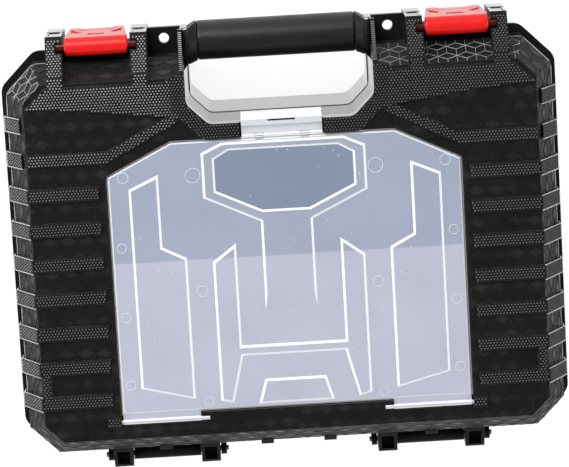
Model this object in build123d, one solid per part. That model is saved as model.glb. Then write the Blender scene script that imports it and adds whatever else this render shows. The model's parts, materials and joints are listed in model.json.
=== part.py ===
"""Power tool case: two hinged shells, a parts organiser under a clear lid, two latches and a grip.

The case is drawn as seen from its front: +X to the right, +Y towards the hand grip, +Z out of the
front face, and Z = 0 on the rear face. `laid_down` turns each finished piece for export, so that
the case lies on its rear face with the grip towards -Y and its middle over the origin.
"""
from build123d import *
import math
import os

# Shell outline, at the seam between the two shells
BODY_WIDTH = 407.0
BODY_TOP = 164.0
BODY_BOTTOM = -134.0
CORNER_BEVEL = 21.0
CORNER_RADIUS = 9.0
WALL = 2.6

# Depths, from the rear face
REAR_DEPTH = 64.0
FRONT_DEPTH = 46.0
SEAM_GAP = 0.4
CHAMFER_WIDTH = 13.2
FRONT_CHAMFER_DEPTH = 25.0
REAR_CHAMFER_WIDTH = 10.0
REAR_CHAMFER_DEPTH = 18.0

# Rim of the rear shell
FLANGE_REACH = 5.2
FLANGE_TOP_REACH = 7.5
FLANGE_THICKNESS = 6.0
RIM_THICKNESS = 2.8
TONGUE_HEIGHT = 3.0
TONGUE_THICKNESS = 1.6
TONGUE_CLEARANCE = 0.5

# Hand opening
OPENING_WIDTH = 139.6
OPENING_FLOOR = 115.0
OPENING_BEVEL = 16.0
OPENING_RADIUS = 9.0
REAR_OPENING_STEP = 2.4
LIP_DEPTH = 12.0

# Raised bands and ribs on the faces
PAD_HEIGHT = 2.0
PAD_EDGE = 0.9
RIB_WIDTH = 11.0
RIB_PITCH = 26.4
RIB_ROWS = 7
SIDE_RIB_ROWS = 9
FIRST_RIB_Y = 68.0
SIDE_RIB_PROUD = 2.6
SIDE_RIB_FOOT = 5.0
BAND_LOW = 133.0
BAND_HIGH = 148.5
BAND_JUNCTION_X = 86.0
BAND_JUNCTION_Y = 122.0
BAND_TAPER = 40.0
BAND_FALL = 3.0
BRANCH_CORNER_X = 131.0
BRANCH_WIDTH = 9.5
TRIM_WIDTH = 11.6
LINK_WIDTH = 7.0
FACE_MARGIN = 0.6
RIB_START = 5.0
RIB_SLANT = 1.5
SHORT_RIB_SETBACK = 3.7
REAR_RIB_MARGIN = 3.0
REAR_PANEL_INSET = 12.0

# Ribs inside the rear shell
BAY_WALL_TOP = 29.0
BAY_WALL_THICKNESS = 2.0
BAY_CROSS_Y = -30.0
BAY_SPLIT_X = 36.0
BAY_SIDE_X = 126.0

# Latch bays, pillars, grip ridges and padlock tabs
BAY_CENTRE = 134.0
BAY_WIDTH = 50.6
PILLAR_WIDTH = 12.4
PILLAR_TOP = 184.6
PILLAR_BEND_Y = 155.0
PILLAR_TOP_SETBACK = 18.0
PILLAR_REAR_DEPTH = 30.0
RIDGE_THICKNESS = 3.0
BUTTRESS_RISE = 8.0
BUTTRESS_DROP = 6.0
POCKET_MARGIN = 2.2
POCKET_DEPTH = 0.6
TAB_THICKNESS = 4.3
TAB_TOP = 184.2
EYE_X = 84.0
EYE_Y = 175.9
EYE_RADIUS = 3.9

# Latches
LATCH_WIDTH = 46.6
LATCH_PIVOT_Y = 176.3
LATCH_PIVOT_SETBACK = 19.5
LATCH_BARREL_RADIUS = 7.0
LATCH_STUB_RADIUS = 3.9
LATCH_STUB_DEPTH = 4.6
STUB_SNAP = 0.4
LATCH_SKIN = 2.6
LATCH_LIFT = 2.4
LATCH_EDGE = 1.2
LATCH_REACH = 8.4
LATCH_HOOK = 3.4
LATCH_TAPER = 3.3
LATCH_POCKET_DEPTH = 0.7
CATCH_Y = 176.0
CATCH_THICKNESS = 3.6

# Grip
GRIP_Y = 172.4
GRIP_RADIUS = 14.9
GRIP_LENGTH = 119.0
CORE_RADIUS = 10.0
COLLAR_RADIUS = 17.6
COLLAR_STEP = 5.6
SPIGOT_RADIUS = 5.0
EAR_THICKNESS = 2.6
EAR_TOP = 182.4
EAR_RADIUS = 17.8

# Case hinges
HINGE_Y = -143.6
HINGE_PIN_RADIUS = 2.0
HINGE_PIN_LENGTH = 94.0
BARREL_RADIUS = 4.7
LOOP_RADIUS = 7.6
LOOP_WIDTH = 14.4
LOOP_WALL = 2.2
LOOP_LIP_HEIGHT = 11.0
LOOP_FOOT_RISE = 1.2
HINGE_CENTRE = 101.2
LOOP_SPACING = 66.8
LOOP_GAP = 0.6
BARREL_END = 4.2
FOOT_X = 24.0
FOOT_WIDTH = 9.5
FOOT_PROUD = 3.0
FOOT_HEIGHT = 9.0

# Organiser window, tray and dividers
LID_WIDTH = 262.8
LID_TOP = 102.4
LID_SHOULDER_Y = 78.8
LID_TOP_WIDTH = 166.2
LID_BOTTOM = -101.8
RECESS_GAP = 1.5
RECESS_DEPTH = 4.4
LEDGE_THICKNESS = 2.4
FRAME_WIDTH = 3.0
TRAY_INSET = 7.0
TRAY_GAP = 0.5
TRAY_WALL = 1.6
TRAY_FLANGE = 1.6
TRAY_DEPTH = 34.0
DIVIDER_THICKNESS = 1.6
DIVIDER_SLOT_GAP = 0.3
DIVIDER_HEADROOM = 1.0
CROSS_DIVIDER_Y = 13.5
GUIDE_REACH = 3.0
GUIDE_THICKNESS = 1.4
SCREW_RADIUS = 1.5
SCREW_HEAD_RADIUS = 3.0
SCREW_HEAD_HEIGHT = 1.4
SCREW_LENGTH = 4.4

# Clear lid
LID_THICKNESS = 2.0
LID_CLEARANCE = 0.2
PANEL_HEIGHT = 1.3
PANEL_SLOPE = 1.8
LID_EDGE = 1.2
STEM_WIDTH = 39.0
STEM_RAMP_Y = -16.5
STEM_END_Y = -28.0
STRIP_INNER_X = 72.8
STRIP_THICKNESS = 1.2
LID_HINGE_Y = -108.0
LID_BARREL_RADIUS = 1.9
PEG_RADIUS = 1.5
PEG_LENGTH = 6.5
PEG_BLOCK_WIDTH = 10.0
PEG_BLOCK_HEIGHT = 8.0

# Lid clip
CLIP_WIDTH = 60.0
CLIP_CHANNEL_GAP = 1.3
CLIP_HINGE_Y = 104.4
CLIP_KNUCKLE_RADIUS = 1.5
CLIP_PIN_RADIUS = 0.8
CLIP_THICKNESS = 2.8
CLIP_WEB = 1.4
CLIP_STEP = 7.6
CLIP_OVERHANG = 7.0
CLIP_DROP = 8.0
CLIP_SLIT_LENGTH = 20.5
CLIP_SLIT_WIDTH = 1.3
CLIP_SLIT_Y = 115.9
CLIP_LUG_THICKNESS = 2.0

# Clearances
RUNNING = 0.08
SEATED = 0.05
SIDE_PLAY = 0.4
HOOK_CLEARANCE = 0.3

# Places worked out from the sizes above
SEAM_Z = REAR_DEPTH
FACE_Z = SEAM_Z + FRONT_DEPTH
PAD_Z = FACE_Z + PAD_HEIGHT
SHOULDER_Z = FACE_Z - FRONT_CHAMFER_DEPTH
FRONT_RIM_Z = SEAM_Z + SEAM_GAP / 2
REAR_RIM_Z = SEAM_Z - SEAM_GAP / 2
REAR_SKIN_Z = PAD_HEIGHT
HALF_BODY = BODY_WIDTH / 2
HALF_FACE = HALF_BODY - CHAMFER_WIDTH
FACE_TOP = BODY_TOP - CHAMFER_WIDTH
HALF_OPENING = OPENING_WIDTH / 2
LEDGE_Z = FACE_Z - RECESS_DEPTH
LID_Z = LEDGE_Z + TRAY_FLANGE + LID_CLEARANCE
LID_TOP_Z = LID_Z + LID_THICKNESS
LID_HINGE_Z = LID_TOP_Z - 0.4
TRAY_TOP_Z = LEDGE_Z + TRAY_FLANGE
TRAY_FLOOR_Z = TRAY_TOP_Z - TRAY_DEPTH
LATCH_PIVOT_Z = PAD_Z - LATCH_PIVOT_SETBACK
GRIP_Z = SEAM_Z
HALF_GRIP = GRIP_LENGTH / 2
EAR_INNER_X = HALF_OPENING - SIDE_PLAY - EAR_THICKNESS
COLLAR_OUTER_X = EAR_INNER_X - SEATED
HIGH_Y = 400.0


def bevelled(grow_side, grow_top, grow_bottom, bevel, radius):
    """Face of the shell outline, grown outwards by the given amounts."""
    half = HALF_BODY + grow_side
    top = BODY_TOP + grow_top
    low = BODY_BOTTOM - grow_bottom
    points = [
        (-half + bevel, low), (half - bevel, low), (half, low + bevel), (half, top - bevel),
        (half - bevel, top), (-half + bevel, top), (-half, top - bevel), (-half, low + bevel),
    ]
    face = make_face(Polyline(*points, close=True))
    return fillet(face.vertices(), radius)


def outline(inset):
    """Shell outline moved inwards by `inset` all round."""
    bevel = CORNER_BEVEL - inset * (2 - math.sqrt(2))
    return bevelled(-inset, -inset, -inset, bevel, max(CORNER_RADIUS - inset / 2, 2.0))


def hand_opening(grow):
    """U-shaped gap for the fingers, open towards the grip, grown outwards by `grow`."""
    half = HALF_OPENING + grow
    floor = OPENING_FLOOR - grow
    bevel = OPENING_BEVEL + grow * (2 - math.sqrt(2))
    face = make_face(Polyline(
        (-half, HIGH_Y), (-half, floor + bevel), (-half + bevel, floor),
        (half - bevel, floor), (half, floor + bevel), (half, HIGH_Y), close=True,
    ))
    corners = face.vertices().filter_by(lambda v: v.Y < HIGH_Y / 2)
    return fillet(corners, OPENING_RADIUS)


def prism(face, low_z, high_z):
    """Solid with the section `face` between two heights."""
    return extrude(Pos(0, 0, low_z) * face, amount=high_z - low_z, dir=(0, 0, 1))


def box_between(x, y, z):
    """Box that spans three (low, high) pairs."""
    return Pos(*(sum(pair) / 2 for pair in (x, y, z))) * Box(*(pair[1] - pair[0] for pair in (x, y, z)))


def rod(x_low, x_high, y, z, radius):
    """Round bar along X."""
    return Pos((x_low + x_high) / 2, y, z) * Rot(0, 90, 0) * Cylinder(radius, x_high - x_low)


def side_profile(points, x_low, x_high):
    """Solid with an outline given as (y, z) points, between two places on X."""
    face = make_face(Polyline(*[(x_low, y, z) for y, z in points], close=True))
    return extrude(face, amount=x_high - x_low, dir=(1, 0, 0))


def end_profile(points, y_low, y_high):
    """Solid with an outline given as (x, z) points, between two places on Y."""
    face = make_face(Polyline(*[(x, y_low, z) for x, z in points], close=True))
    return extrude(face, amount=y_high - y_low, dir=(0, 1, 0))


def mirrored(shape):
    """The shape and its mirror image on the other half of the case."""
    return [shape, mirror(shape, about=Plane.YZ)]


def raised_pad(face, base_z, height, edge, drop=None):
    """Pad that stands on a face, with an edge round its top `edge` wide and `drop` high."""
    pad = prism(face, base_z - 0.5, base_z + height)
    top = pad.faces().sort_by(Axis.Z)[-1]
    return chamfer(top.edges(), edge, drop or edge, reference=top)


def shell_solid(inset, seam_z, shoulder_z, face_z, chamfer_width, opening_grow):
    """Block with a straight wall and a sloped shoulder, cut by the hand opening."""
    low, high = min(seam_z, shoulder_z), max(seam_z, shoulder_z)
    straight = prism(outline(inset), low, high)
    slope = loft([
        Pos(0, 0, shoulder_z) * outline(inset),
        Pos(0, 0, face_z) * outline(inset / 2 + chamfer_width),
    ], ruled=True)
    gap = prism(hand_opening(opening_grow), -10, PAD_Z + 10)
    return straight + slope - gap


def organiser_outline(inset):
    """Outline of the organiser, with two sloped corners towards the grip."""
    half = LID_WIDTH / 2
    face = make_face(Polyline(
        (-half, LID_BOTTOM), (half, LID_BOTTOM), (half, LID_SHOULDER_Y),
        (LID_TOP_WIDTH / 2, LID_TOP), (-LID_TOP_WIDTH / 2, LID_TOP), (-half, LID_SHOULDER_Y), close=True,
    ))
    return offset(face, amount=-inset, kind=Kind.INTERSECTION) if inset else face


def strip_pocket(grow):
    """Pocket for one hinge strip of the clear lid, on the right-hand side."""
    low = LID_HINGE_Y - LID_BARREL_RADIUS - SIDE_PLAY - grow
    inner = STRIP_INNER_X - SIDE_PLAY - grow
    outer = LID_WIDTH / 2 + RECESS_GAP + grow
    return make_face(Polyline((inner, low), (outer, low), (outer, LID_BOTTOM + 5), (inner, LID_BOTTOM + 5),
                              close=True))


def recess_plan(grow):
    """Plan of the organiser's recess in the front face."""
    plan = organiser_outline(-RECESS_GAP - grow)
    for pocket in mirrored(strip_pocket(grow)):
        plan += pocket
    return plan


def rib_row_y(row):
    """Middle of a rib row. Row 0 is the rib nearest the grip on the face."""
    return FIRST_RIB_Y - row * RIB_PITCH


def knurled_plan():
    """Plan of the connected raised bands on the right half of the front face."""
    edge_x = HALF_FACE - FACE_MARGIN
    trim_x = HALF_OPENING + TRIM_WIDTH
    bend_y = OPENING_FLOOR + OPENING_BEVEL - TRIM_WIDTH
    corner_x = edge_x - (BAND_HIGH - BAND_LOW)
    band = make_face(Polyline(
        (edge_x, BAND_LOW), (corner_x, BAND_HIGH), (BAND_JUNCTION_X, BAND_HIGH),
        (BAND_JUNCTION_X - TRIM_WIDTH, PILLAR_BEND_Y), (HALF_OPENING, PILLAR_BEND_Y),
        (HALF_OPENING, bend_y), (trim_x, bend_y), (BAND_JUNCTION_X, BAND_JUNCTION_Y),
        (edge_x - BAND_TAPER, BAND_LOW - BAND_FALL),
        close=True,
    ))
    branch_y = rib_row_y(-1)
    low, high = branch_y - BRANCH_WIDTH / 2, branch_y + BRANCH_WIDTH / 2
    branch = make_face(Polyline(
        (BAND_JUNCTION_X, BAND_JUNCTION_Y), (BRANCH_CORNER_X, high), (edge_x, high), (edge_x, low),
        (BRANCH_CORNER_X, low), (trim_x, OPENING_FLOOR), (HALF_OPENING, OPENING_FLOOR + OPENING_BEVEL / 2),
        close=True,
    ))
    trim_start = CLIP_WIDTH / 2 + CLIP_CHANNEL_GAP
    zone = make_face(Polyline(
        (trim_start, OPENING_FLOOR - TRIM_WIDTH), (trim_x, OPENING_FLOOR - TRIM_WIDTH), (trim_x, BAND_HIGH),
        (trim_start, BAND_HIGH), close=True,
    ))
    trim = hand_opening(TRIM_WIDTH) & zone
    return (band + branch + trim) - hand_opening(0)


def pillar_spans():
    """X spans of the two pillars beside the right-hand latch."""
    inner = BAY_CENTRE - BAY_WIDTH / 2
    outer = BAY_CENTRE + BAY_WIDTH / 2
    return [(inner - PILLAR_WIDTH, inner), (outer, outer + PILLAR_WIDTH)]


def front_buttress(x_low, x_high, rim_top):
    """Upright on the front shell whose knurled face leans back from the band, `rim_top` high at the seam."""
    root_z = FACE_Z - PAD_HEIGHT
    crest_z = PAD_Z - PILLAR_TOP_SETBACK
    return side_profile([
        (BAND_HIGH - PAD_EDGE, root_z), (BAND_HIGH - PAD_EDGE, PAD_Z - PAD_EDGE), (BAND_HIGH, PAD_Z),
        (PILLAR_BEND_Y, PAD_Z), (PILLAR_TOP - PAD_EDGE, crest_z), (PILLAR_TOP, crest_z - PAD_EDGE),
        (rim_top, FRONT_RIM_Z), (BODY_TOP - WALL / 2, FRONT_RIM_Z), (BODY_TOP - WALL / 2, SHOULDER_Z),
        (FACE_TOP, root_z),
    ], x_low, x_high)


def rear_buttress(x_low, x_high):
    """Upright on the rear shell that meets a front one at the seam."""
    foot_z = REAR_RIM_Z - PILLAR_REAR_DEPTH
    return side_profile([
        (BODY_TOP - WALL / 2, REAR_RIM_Z), (PILLAR_TOP, REAR_RIM_Z), (PILLAR_TOP, foot_z + BUTTRESS_RISE),
        (BODY_TOP - WALL / 2, foot_z - BUTTRESS_DROP),
    ], x_low, x_high)


def padlock_tab(low_z, high_z):
    """Right-hand plate between the grip ridge and the inner pillar, with the padlock eye."""
    inner = HALF_OPENING + SIDE_PLAY + RIDGE_THICKNESS / 2
    outer = pillar_spans()[0][0] + 1
    plate = box_between((inner, outer), (BODY_TOP - WALL / 2, TAB_TOP), (low_z, high_z))
    return plate - Pos(EYE_X, EYE_Y, (low_z + high_z) / 2) * Cylinder(EYE_RADIUS, high_z - low_z + 2)


def side_rib(y, start_x):
    """Rib that wraps over the right-hand shoulder and down the side wall, from `start_x` outwards."""
    foot_z = FRONT_RIM_Z + SIDE_RIB_FOOT
    outer_x = HALF_BODY + SIDE_RIB_PROUD
    wrap = end_profile([
        (HALF_FACE - PAD_HEIGHT, FACE_Z - PAD_HEIGHT), (HALF_FACE - PAD_HEIGHT, PAD_Z),
        (HALF_FACE + PAD_HEIGHT / 2, PAD_Z), (outer_x, SHOULDER_Z + PAD_HEIGHT), (outer_x, foot_z),
        (HALF_BODY - WALL / 2, foot_z - SIDE_RIB_PROUD), (HALF_BODY - WALL / 2, SHOULDER_Z),
    ], y - RIB_WIDTH / 2, y + RIB_WIDTH / 2)
    wrap = chamfer(wrap.faces().filter_by(Axis.Y).edges(), PAD_EDGE)
    return wrap & box_between((start_x, outer_x), (y - RIB_WIDTH, y + RIB_WIDTH), (SEAM_Z, PAD_Z))


def hinge_x_spans():
    """X spans of the right-hand hinge: two loops of the front shell and three rear barrels."""
    inner_loop = HINGE_CENTRE - LOOP_SPACING / 2
    outer_loop = HINGE_CENTRE + LOOP_SPACING / 2
    half = LOOP_WIDTH / 2
    loops = [(inner_loop - half, inner_loop + half), (outer_loop - half, outer_loop + half)]
    barrels = [
        (loops[0][0] - LOOP_GAP - BARREL_END, loops[0][0] - LOOP_GAP),
        (loops[0][1] + LOOP_GAP, loops[1][0] - LOOP_GAP),
        (loops[1][1] + LOOP_GAP, loops[1][1] + LOOP_GAP + BARREL_END),
    ]
    return loops, barrels


def hinge_loop(x_low, x_high):
    """Loop of the front shell that rides on the hinge pin, with a square pocket in its front."""
    far_y = HINGE_Y - LOOP_RADIUS
    wall_y = BODY_BOTTOM + WALL / 2
    low_z = FRONT_RIM_Z + LOOP_FOOT_RISE
    ring = rod(x_low, x_high, HINGE_Y, SEAM_Z, LOOP_RADIUS)
    arm = side_profile([
        (wall_y, SHOULDER_Z), (BODY_BOTTOM, SHOULDER_Z), (far_y + LOOP_FOOT_RISE, SEAM_Z + LOOP_LIP_HEIGHT),
        (far_y, SEAM_Z + LOOP_LIP_HEIGHT - LOOP_FOOT_RISE), (far_y, SEAM_Z), (HINGE_Y, SEAM_Z),
        (HINGE_Y + LOOP_RADIUS, low_z), (wall_y, low_z),
    ], x_low, x_high)
    mouth = box_between((x_low + LOOP_WALL, x_high - LOOP_WALL),
                        (far_y + LOOP_WALL, BODY_BOTTOM - LOOP_WALL - LOOP_FOOT_RISE),
                        (SEAM_Z + HINGE_PIN_RADIUS + LOOP_WALL, SHOULDER_Z))
    return ring + arm - mouth


def face_bands():
    """Raised bands, ribs and links on the right half of the front face."""
    edge_x = HALF_FACE - FACE_MARGIN
    inner_x = LID_WIDTH / 2 + RECESS_GAP + RIB_START
    plans = [knurled_plan()]
    for row in range(RIB_ROWS):
        y = rib_row_y(row)
        low, high = y - RIB_WIDTH / 2, y + RIB_WIDTH / 2
        plans.append(make_face(Polyline(
            (edge_x, low), (edge_x, high), (inner_x, high), (inner_x + RIB_SLANT, low), close=True,
        )))
    low, high = rib_row_y(RIB_ROWS - 1), rib_row_y(RIB_ROWS - 2)
    plans.append(make_face(Polyline(
        (edge_x, low), (edge_x, high), (edge_x - LINK_WIDTH, high), (edge_x - LINK_WIDTH, low), close=True,
    )))
    return [raised_pad(plan, FACE_Z, PAD_HEIGHT, PAD_EDGE) for plan in plans]


def side_ribs():
    """Right-hand side ribs: one for each face rib, and short ones nearer the grip."""
    ribs = []
    for row in range(RIB_ROWS - SIDE_RIB_ROWS, RIB_ROWS):
        start_x = HALF_FACE - PAD_HEIGHT if row >= 0 else HALF_FACE + SHORT_RIB_SETBACK
        ribs.append(side_rib(rib_row_y(row), start_x))
    return ribs


def latch_pillars():
    """Two hollow uprights beside the right-hand latch, without their pivot bores."""
    core_top = LATCH_PIVOT_Z - LATCH_STUB_RADIUS - WALL
    crest_z = PAD_Z - PILLAR_TOP_SETBACK
    pillars = []
    for x_low, x_high in pillar_spans():
        core = box_between((x_low + WALL, x_high - WALL), (BODY_TOP + WALL, PILLAR_TOP - WALL),
                           (SEAM_Z - 1, core_top))
        pocket = box_between((x_low + POCKET_MARGIN, x_high - POCKET_MARGIN),
                             (PILLAR_TOP - POCKET_DEPTH, HIGH_Y),
                             (FRONT_RIM_Z + POCKET_MARGIN, crest_z - POCKET_MARGIN))
        pillars.append(front_buttress(x_low, x_high, PILLAR_TOP) - core - pocket)
    return pillars


def latch_seats():
    """Bores in the right-hand pillars for the latch's stubs, and the notches they snap in through."""
    reach = BAY_WIDTH / 2 + LATCH_STUB_DEPTH + SIDE_PLAY
    x_span = (BAY_CENTRE - reach, BAY_CENTRE + reach)
    neck = LATCH_STUB_RADIUS - STUB_SNAP
    bore = rod(*x_span, LATCH_PIVOT_Y, LATCH_PIVOT_Z, LATCH_STUB_RADIUS + RUNNING)
    notch = box_between(x_span, (LATCH_PIVOT_Y - neck, LATCH_PIVOT_Y + neck), (LATCH_PIVOT_Z, PAD_Z))
    return [bore, notch]


def feet():
    """Small lugs on the right half of the hinge side."""
    lugs = []
    for x in (FOOT_X, HINGE_CENTRE):
        lugs.append(side_profile([
            (BODY_BOTTOM + 1, SHOULDER_Z + FOOT_PROUD), (BODY_BOTTOM - FOOT_PROUD, SHOULDER_Z),
            (BODY_BOTTOM - FOOT_PROUD, SHOULDER_Z - FOOT_HEIGHT),
            (BODY_BOTTOM + 1, SHOULDER_Z - FOOT_HEIGHT - FOOT_PROUD),
        ], x - FOOT_WIDTH / 2, x + FOOT_WIDTH / 2))
    return lugs


def lid_hinge_seats():
    """Boss and block that carry the right-hand pegs of the clear lid, and the holes in them."""
    low_z = LEDGE_Z - LEDGE_THICKNESS
    block_x = LID_WIDTH / 2 + RECESS_GAP
    slot_end_x = STRIP_INNER_X - SIDE_PLAY
    low_y, high_y = LID_HINGE_Y - PEG_BLOCK_HEIGHT / 2, LID_HINGE_Y + PEG_BLOCK_HEIGHT / 2
    seats = [
        box_between((block_x, block_x + PEG_BLOCK_WIDTH), (low_y, high_y), (low_z, PAD_Z)),
        box_between((slot_end_x - PEG_BLOCK_WIDTH, slot_end_x), (low_y, LID_BOTTOM - RECESS_GAP),
                    (low_z, FACE_Z)),
    ]
    bore = PEG_RADIUS + RUNNING
    slot = rod(slot_end_x - PEG_LENGTH, slot_end_x + 1, LID_HINGE_Y, LID_HINGE_Z, bore)
    mouth = box_between((slot_end_x - PEG_LENGTH, slot_end_x + 1), (LID_HINGE_Y - bore, LID_HINGE_Y + bore),
                        (LID_HINGE_Z, PAD_Z))
    hole = rod(block_x - 1, block_x + PEG_LENGTH + SIDE_PLAY, LID_HINGE_Y, LID_HINGE_Z, bore)
    return seats, [slot, mouth, hole]


def front_block(inset):
    """Solid outline of the front shell, with the hand opening, moved inwards by `inset`."""
    return shell_solid(inset, FRONT_RIM_Z - inset, SHOULDER_Z, FACE_Z - inset, CHAMFER_WIDTH, inset)


def front_shell():
    """Shallower half, with the organiser window, bands, ribs, latch pillars and hinge loops."""
    frame_low = LEDGE_Z - LEDGE_THICKNESS
    shell = front_block(0) - front_block(WALL) - prism(recess_plan(0), frame_low - 1, PAD_Z)
    frame = prism(recess_plan(FRAME_WIDTH), frame_low, FACE_Z) - prism(recess_plan(0), LEDGE_Z, PAD_Z)

    ridge_x = HALF_OPENING + SIDE_PLAY
    loops, _ = hinge_x_spans()
    seats, seat_holes = lid_hinge_seats()
    right_side = face_bands() + side_ribs() + latch_pillars() + feet() + seats
    right_side += [hinge_loop(*span) for span in loops]
    right_side.append(front_buttress(ridge_x, ridge_x + RIDGE_THICKNESS, EAR_TOP))
    right_side.append(padlock_tab(FRONT_RIM_Z, FRONT_RIM_Z + TAB_THICKNESS))
    added = [frame, opening_lip()]
    for piece in right_side:
        added += mirrored(piece)

    right_holes = seat_holes + latch_seats()
    for low, high in loops:
        right_holes.append(rod(low - 1, high + 1, HINGE_Y, SEAM_Z, HINGE_PIN_RADIUS + RUNNING))
    removed = [prism(organiser_outline(TRAY_INSET - TRAY_GAP), frame_low - 1, PAD_Z), clip_channel()]
    for x, y in screw_places():
        removed.append(Pos(x, y, LEDGE_Z) * Cylinder(SCREW_RADIUS + SEATED, 3 * LEDGE_THICKNESS))
    for hole in right_holes:
        removed += mirrored(hole)
    return (shell + added) - removed


def opening_lip():
    """Lean of the front shell's wall round the hand opening, down to the rear shell's wall at the seam."""
    lip_z = FACE_Z - LIP_DEPTH
    grip_low = GRIP_Y - EAR_RADIUS - SIDE_PLAY
    half = HALF_OPENING + WALL
    block = prism(hand_opening(WALL / 2), FRONT_RIM_Z, lip_z)
    block &= box_between((-half, half), (BODY_BOTTOM, grip_low), (FRONT_RIM_Z, lip_z))
    gap = loft([
        Pos(0, 0, FRONT_RIM_Z) * hand_opening(-REAR_OPENING_STEP),
        Pos(0, 0, lip_z) * hand_opening(0),
    ], ruled=True)
    return block - gap


def clip_channel():
    """Space cut in the rim of the hand opening for the lid's clip."""
    half = CLIP_WIDTH / 2 + CLIP_CHANNEL_GAP
    floor = LID_HINGE_Z - CLIP_KNUCKLE_RADIUS - SIDE_PLAY
    return box_between((-half, half), (LID_TOP, OPENING_FLOOR + 1), (floor, PAD_Z))


def seam_rim():
    """Flange, shelf and tongue along the rear shell's seam."""
    opening = hand_opening(-REAR_OPENING_STEP)
    flange = bevelled(FLANGE_REACH, FLANGE_TOP_REACH, FLANGE_REACH, CORNER_BEVEL + FLANGE_REACH,
                      CORNER_RADIUS + FLANGE_REACH / 2)
    flange = prism(flange, REAR_RIM_Z - FLANGE_THICKNESS, REAR_RIM_Z) - prism(outline(WALL / 2), 0, PAD_Z)
    notch_x = pillar_spans()[1][1] - WALL / 2
    flange -= box_between((-notch_x, notch_x), (BODY_TOP - WALL, HIGH_Y), (0, PAD_Z))

    tongue_inset = WALL + TONGUE_CLEARANCE
    well_inset = tongue_inset + TONGUE_THICKNESS
    well = prism(outline(well_inset), 0, PAD_Z) - prism(hand_opening(well_inset), 0, PAD_Z)
    shelf_low = REAR_RIM_Z - RIM_THICKNESS
    shelf = prism(outline(WALL / 2), shelf_low, REAR_RIM_Z) - prism(opening, 0, PAD_Z) - well
    tongue = prism(outline(tongue_inset), shelf_low, REAR_RIM_Z + TONGUE_HEIGHT)
    tongue = tongue - prism(hand_opening(tongue_inset), 0, PAD_Z) - well
    return [flange, shelf, tongue]


def grip_ear():
    """Right-hand cheek and round ear that hold the end of the grip, without the spigot's socket."""
    low_x, high_x = EAR_INNER_X, EAR_INNER_X + EAR_THICKNESS
    foot_z = REAR_RIM_Z - PILLAR_REAR_DEPTH
    root_y = OPENING_FLOOR + OPENING_BEVEL
    cheek = side_profile([
        (root_y, REAR_RIM_Z), (EAR_TOP, REAR_RIM_Z), (EAR_TOP, foot_z + BUTTRESS_RISE),
        (BODY_TOP - WALL / 2, foot_z - BUTTRESS_DROP), (root_y, foot_z - BUTTRESS_DROP),
    ], low_x, HALF_OPENING + SIDE_PLAY + RIDGE_THICKNESS)
    disc = rod(low_x, high_x, GRIP_Y, GRIP_Z, EAR_RADIUS)
    disc &= box_between((low_x, high_x), (BODY_BOTTOM, EAR_TOP), (0, PAD_Z))
    return [cheek, disc]


def hinge_barrels():
    """Right-hand barrels of the case hinge on webs that grow from the flange."""
    _, spans = hinge_x_spans()
    barrels = []
    for x_low, x_high in spans:
        web = box_between((x_low, x_high), (HINGE_Y, BODY_BOTTOM + WALL / 2),
                          (REAR_RIM_Z - FLANGE_THICKNESS, REAR_RIM_Z))
        barrels.append(rod(x_low, x_high, HINGE_Y, SEAM_Z, BARREL_RADIUS) + web)
    return barrels


def rear_block(inset):
    """Solid outline of the rear shell, with the hand opening, moved inwards by `inset`."""
    return shell_solid(inset, REAR_RIM_Z + inset, REAR_CHAMFER_DEPTH, REAR_SKIN_Z + inset,
                       REAR_CHAMFER_WIDTH, inset - REAR_OPENING_STEP)


def rear_shell():
    """Deeper half, with the rim flange, seam tongue, hinge barrels, catches and grip ears."""
    shell = rear_block(0) - rear_block(WALL)

    catch_low = REAR_RIM_Z - CATCH_THICKNESS
    catch = side_profile([
        (BODY_TOP - WALL / 2, REAR_RIM_Z), (CATCH_Y, REAR_RIM_Z), (CATCH_Y, catch_low),
        (BODY_TOP - WALL / 2, catch_low - (CATCH_Y - BODY_TOP)),
    ], BAY_CENTRE - BAY_WIDTH / 2 - 1, BAY_CENTRE + BAY_WIDTH / 2 + 1)
    right_side = grip_ear() + hinge_barrels()
    right_side += [catch, padlock_tab(REAR_RIM_Z - TAB_THICKNESS, REAR_RIM_Z)]
    core_low = REAR_RIM_Z - PILLAR_REAR_DEPTH + BUTTRESS_RISE + WALL
    for x_low, x_high in pillar_spans():
        core = box_between((x_low + WALL, x_high - WALL), (BODY_TOP + WALL, PILLAR_TOP - WALL),
                           (core_low, SEAM_Z + 1))
        right_side.append(rear_buttress(x_low, x_high) - core)
    added = seam_rim() + rear_pads() + tool_bay_walls()
    for piece in right_side:
        added += mirrored(piece)

    loops, barrels = hinge_x_spans()
    socket = rod(EAR_INNER_X - 1, EAR_INNER_X + EAR_THICKNESS, GRIP_Y, GRIP_Z, SPIGOT_RADIUS + SEATED)
    right_holes = [socket]
    for x_low, x_high in loops:
        right_holes.append(box_between((x_low - LOOP_GAP, x_high + LOOP_GAP),
                                       (HINGE_Y - LOOP_RADIUS, BODY_BOTTOM),
                                       (REAR_RIM_Z - FLANGE_THICKNESS - 1, SEAM_Z + LOOP_RADIUS)))
    for x_low, x_high in barrels:
        right_holes.append(rod(x_low - 1, x_high + 1, HINGE_Y, SEAM_Z, HINGE_PIN_RADIUS + SEATED))
    removed = []
    for hole in right_holes:
        removed += mirrored(hole)
    return (shell + added) - removed


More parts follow.
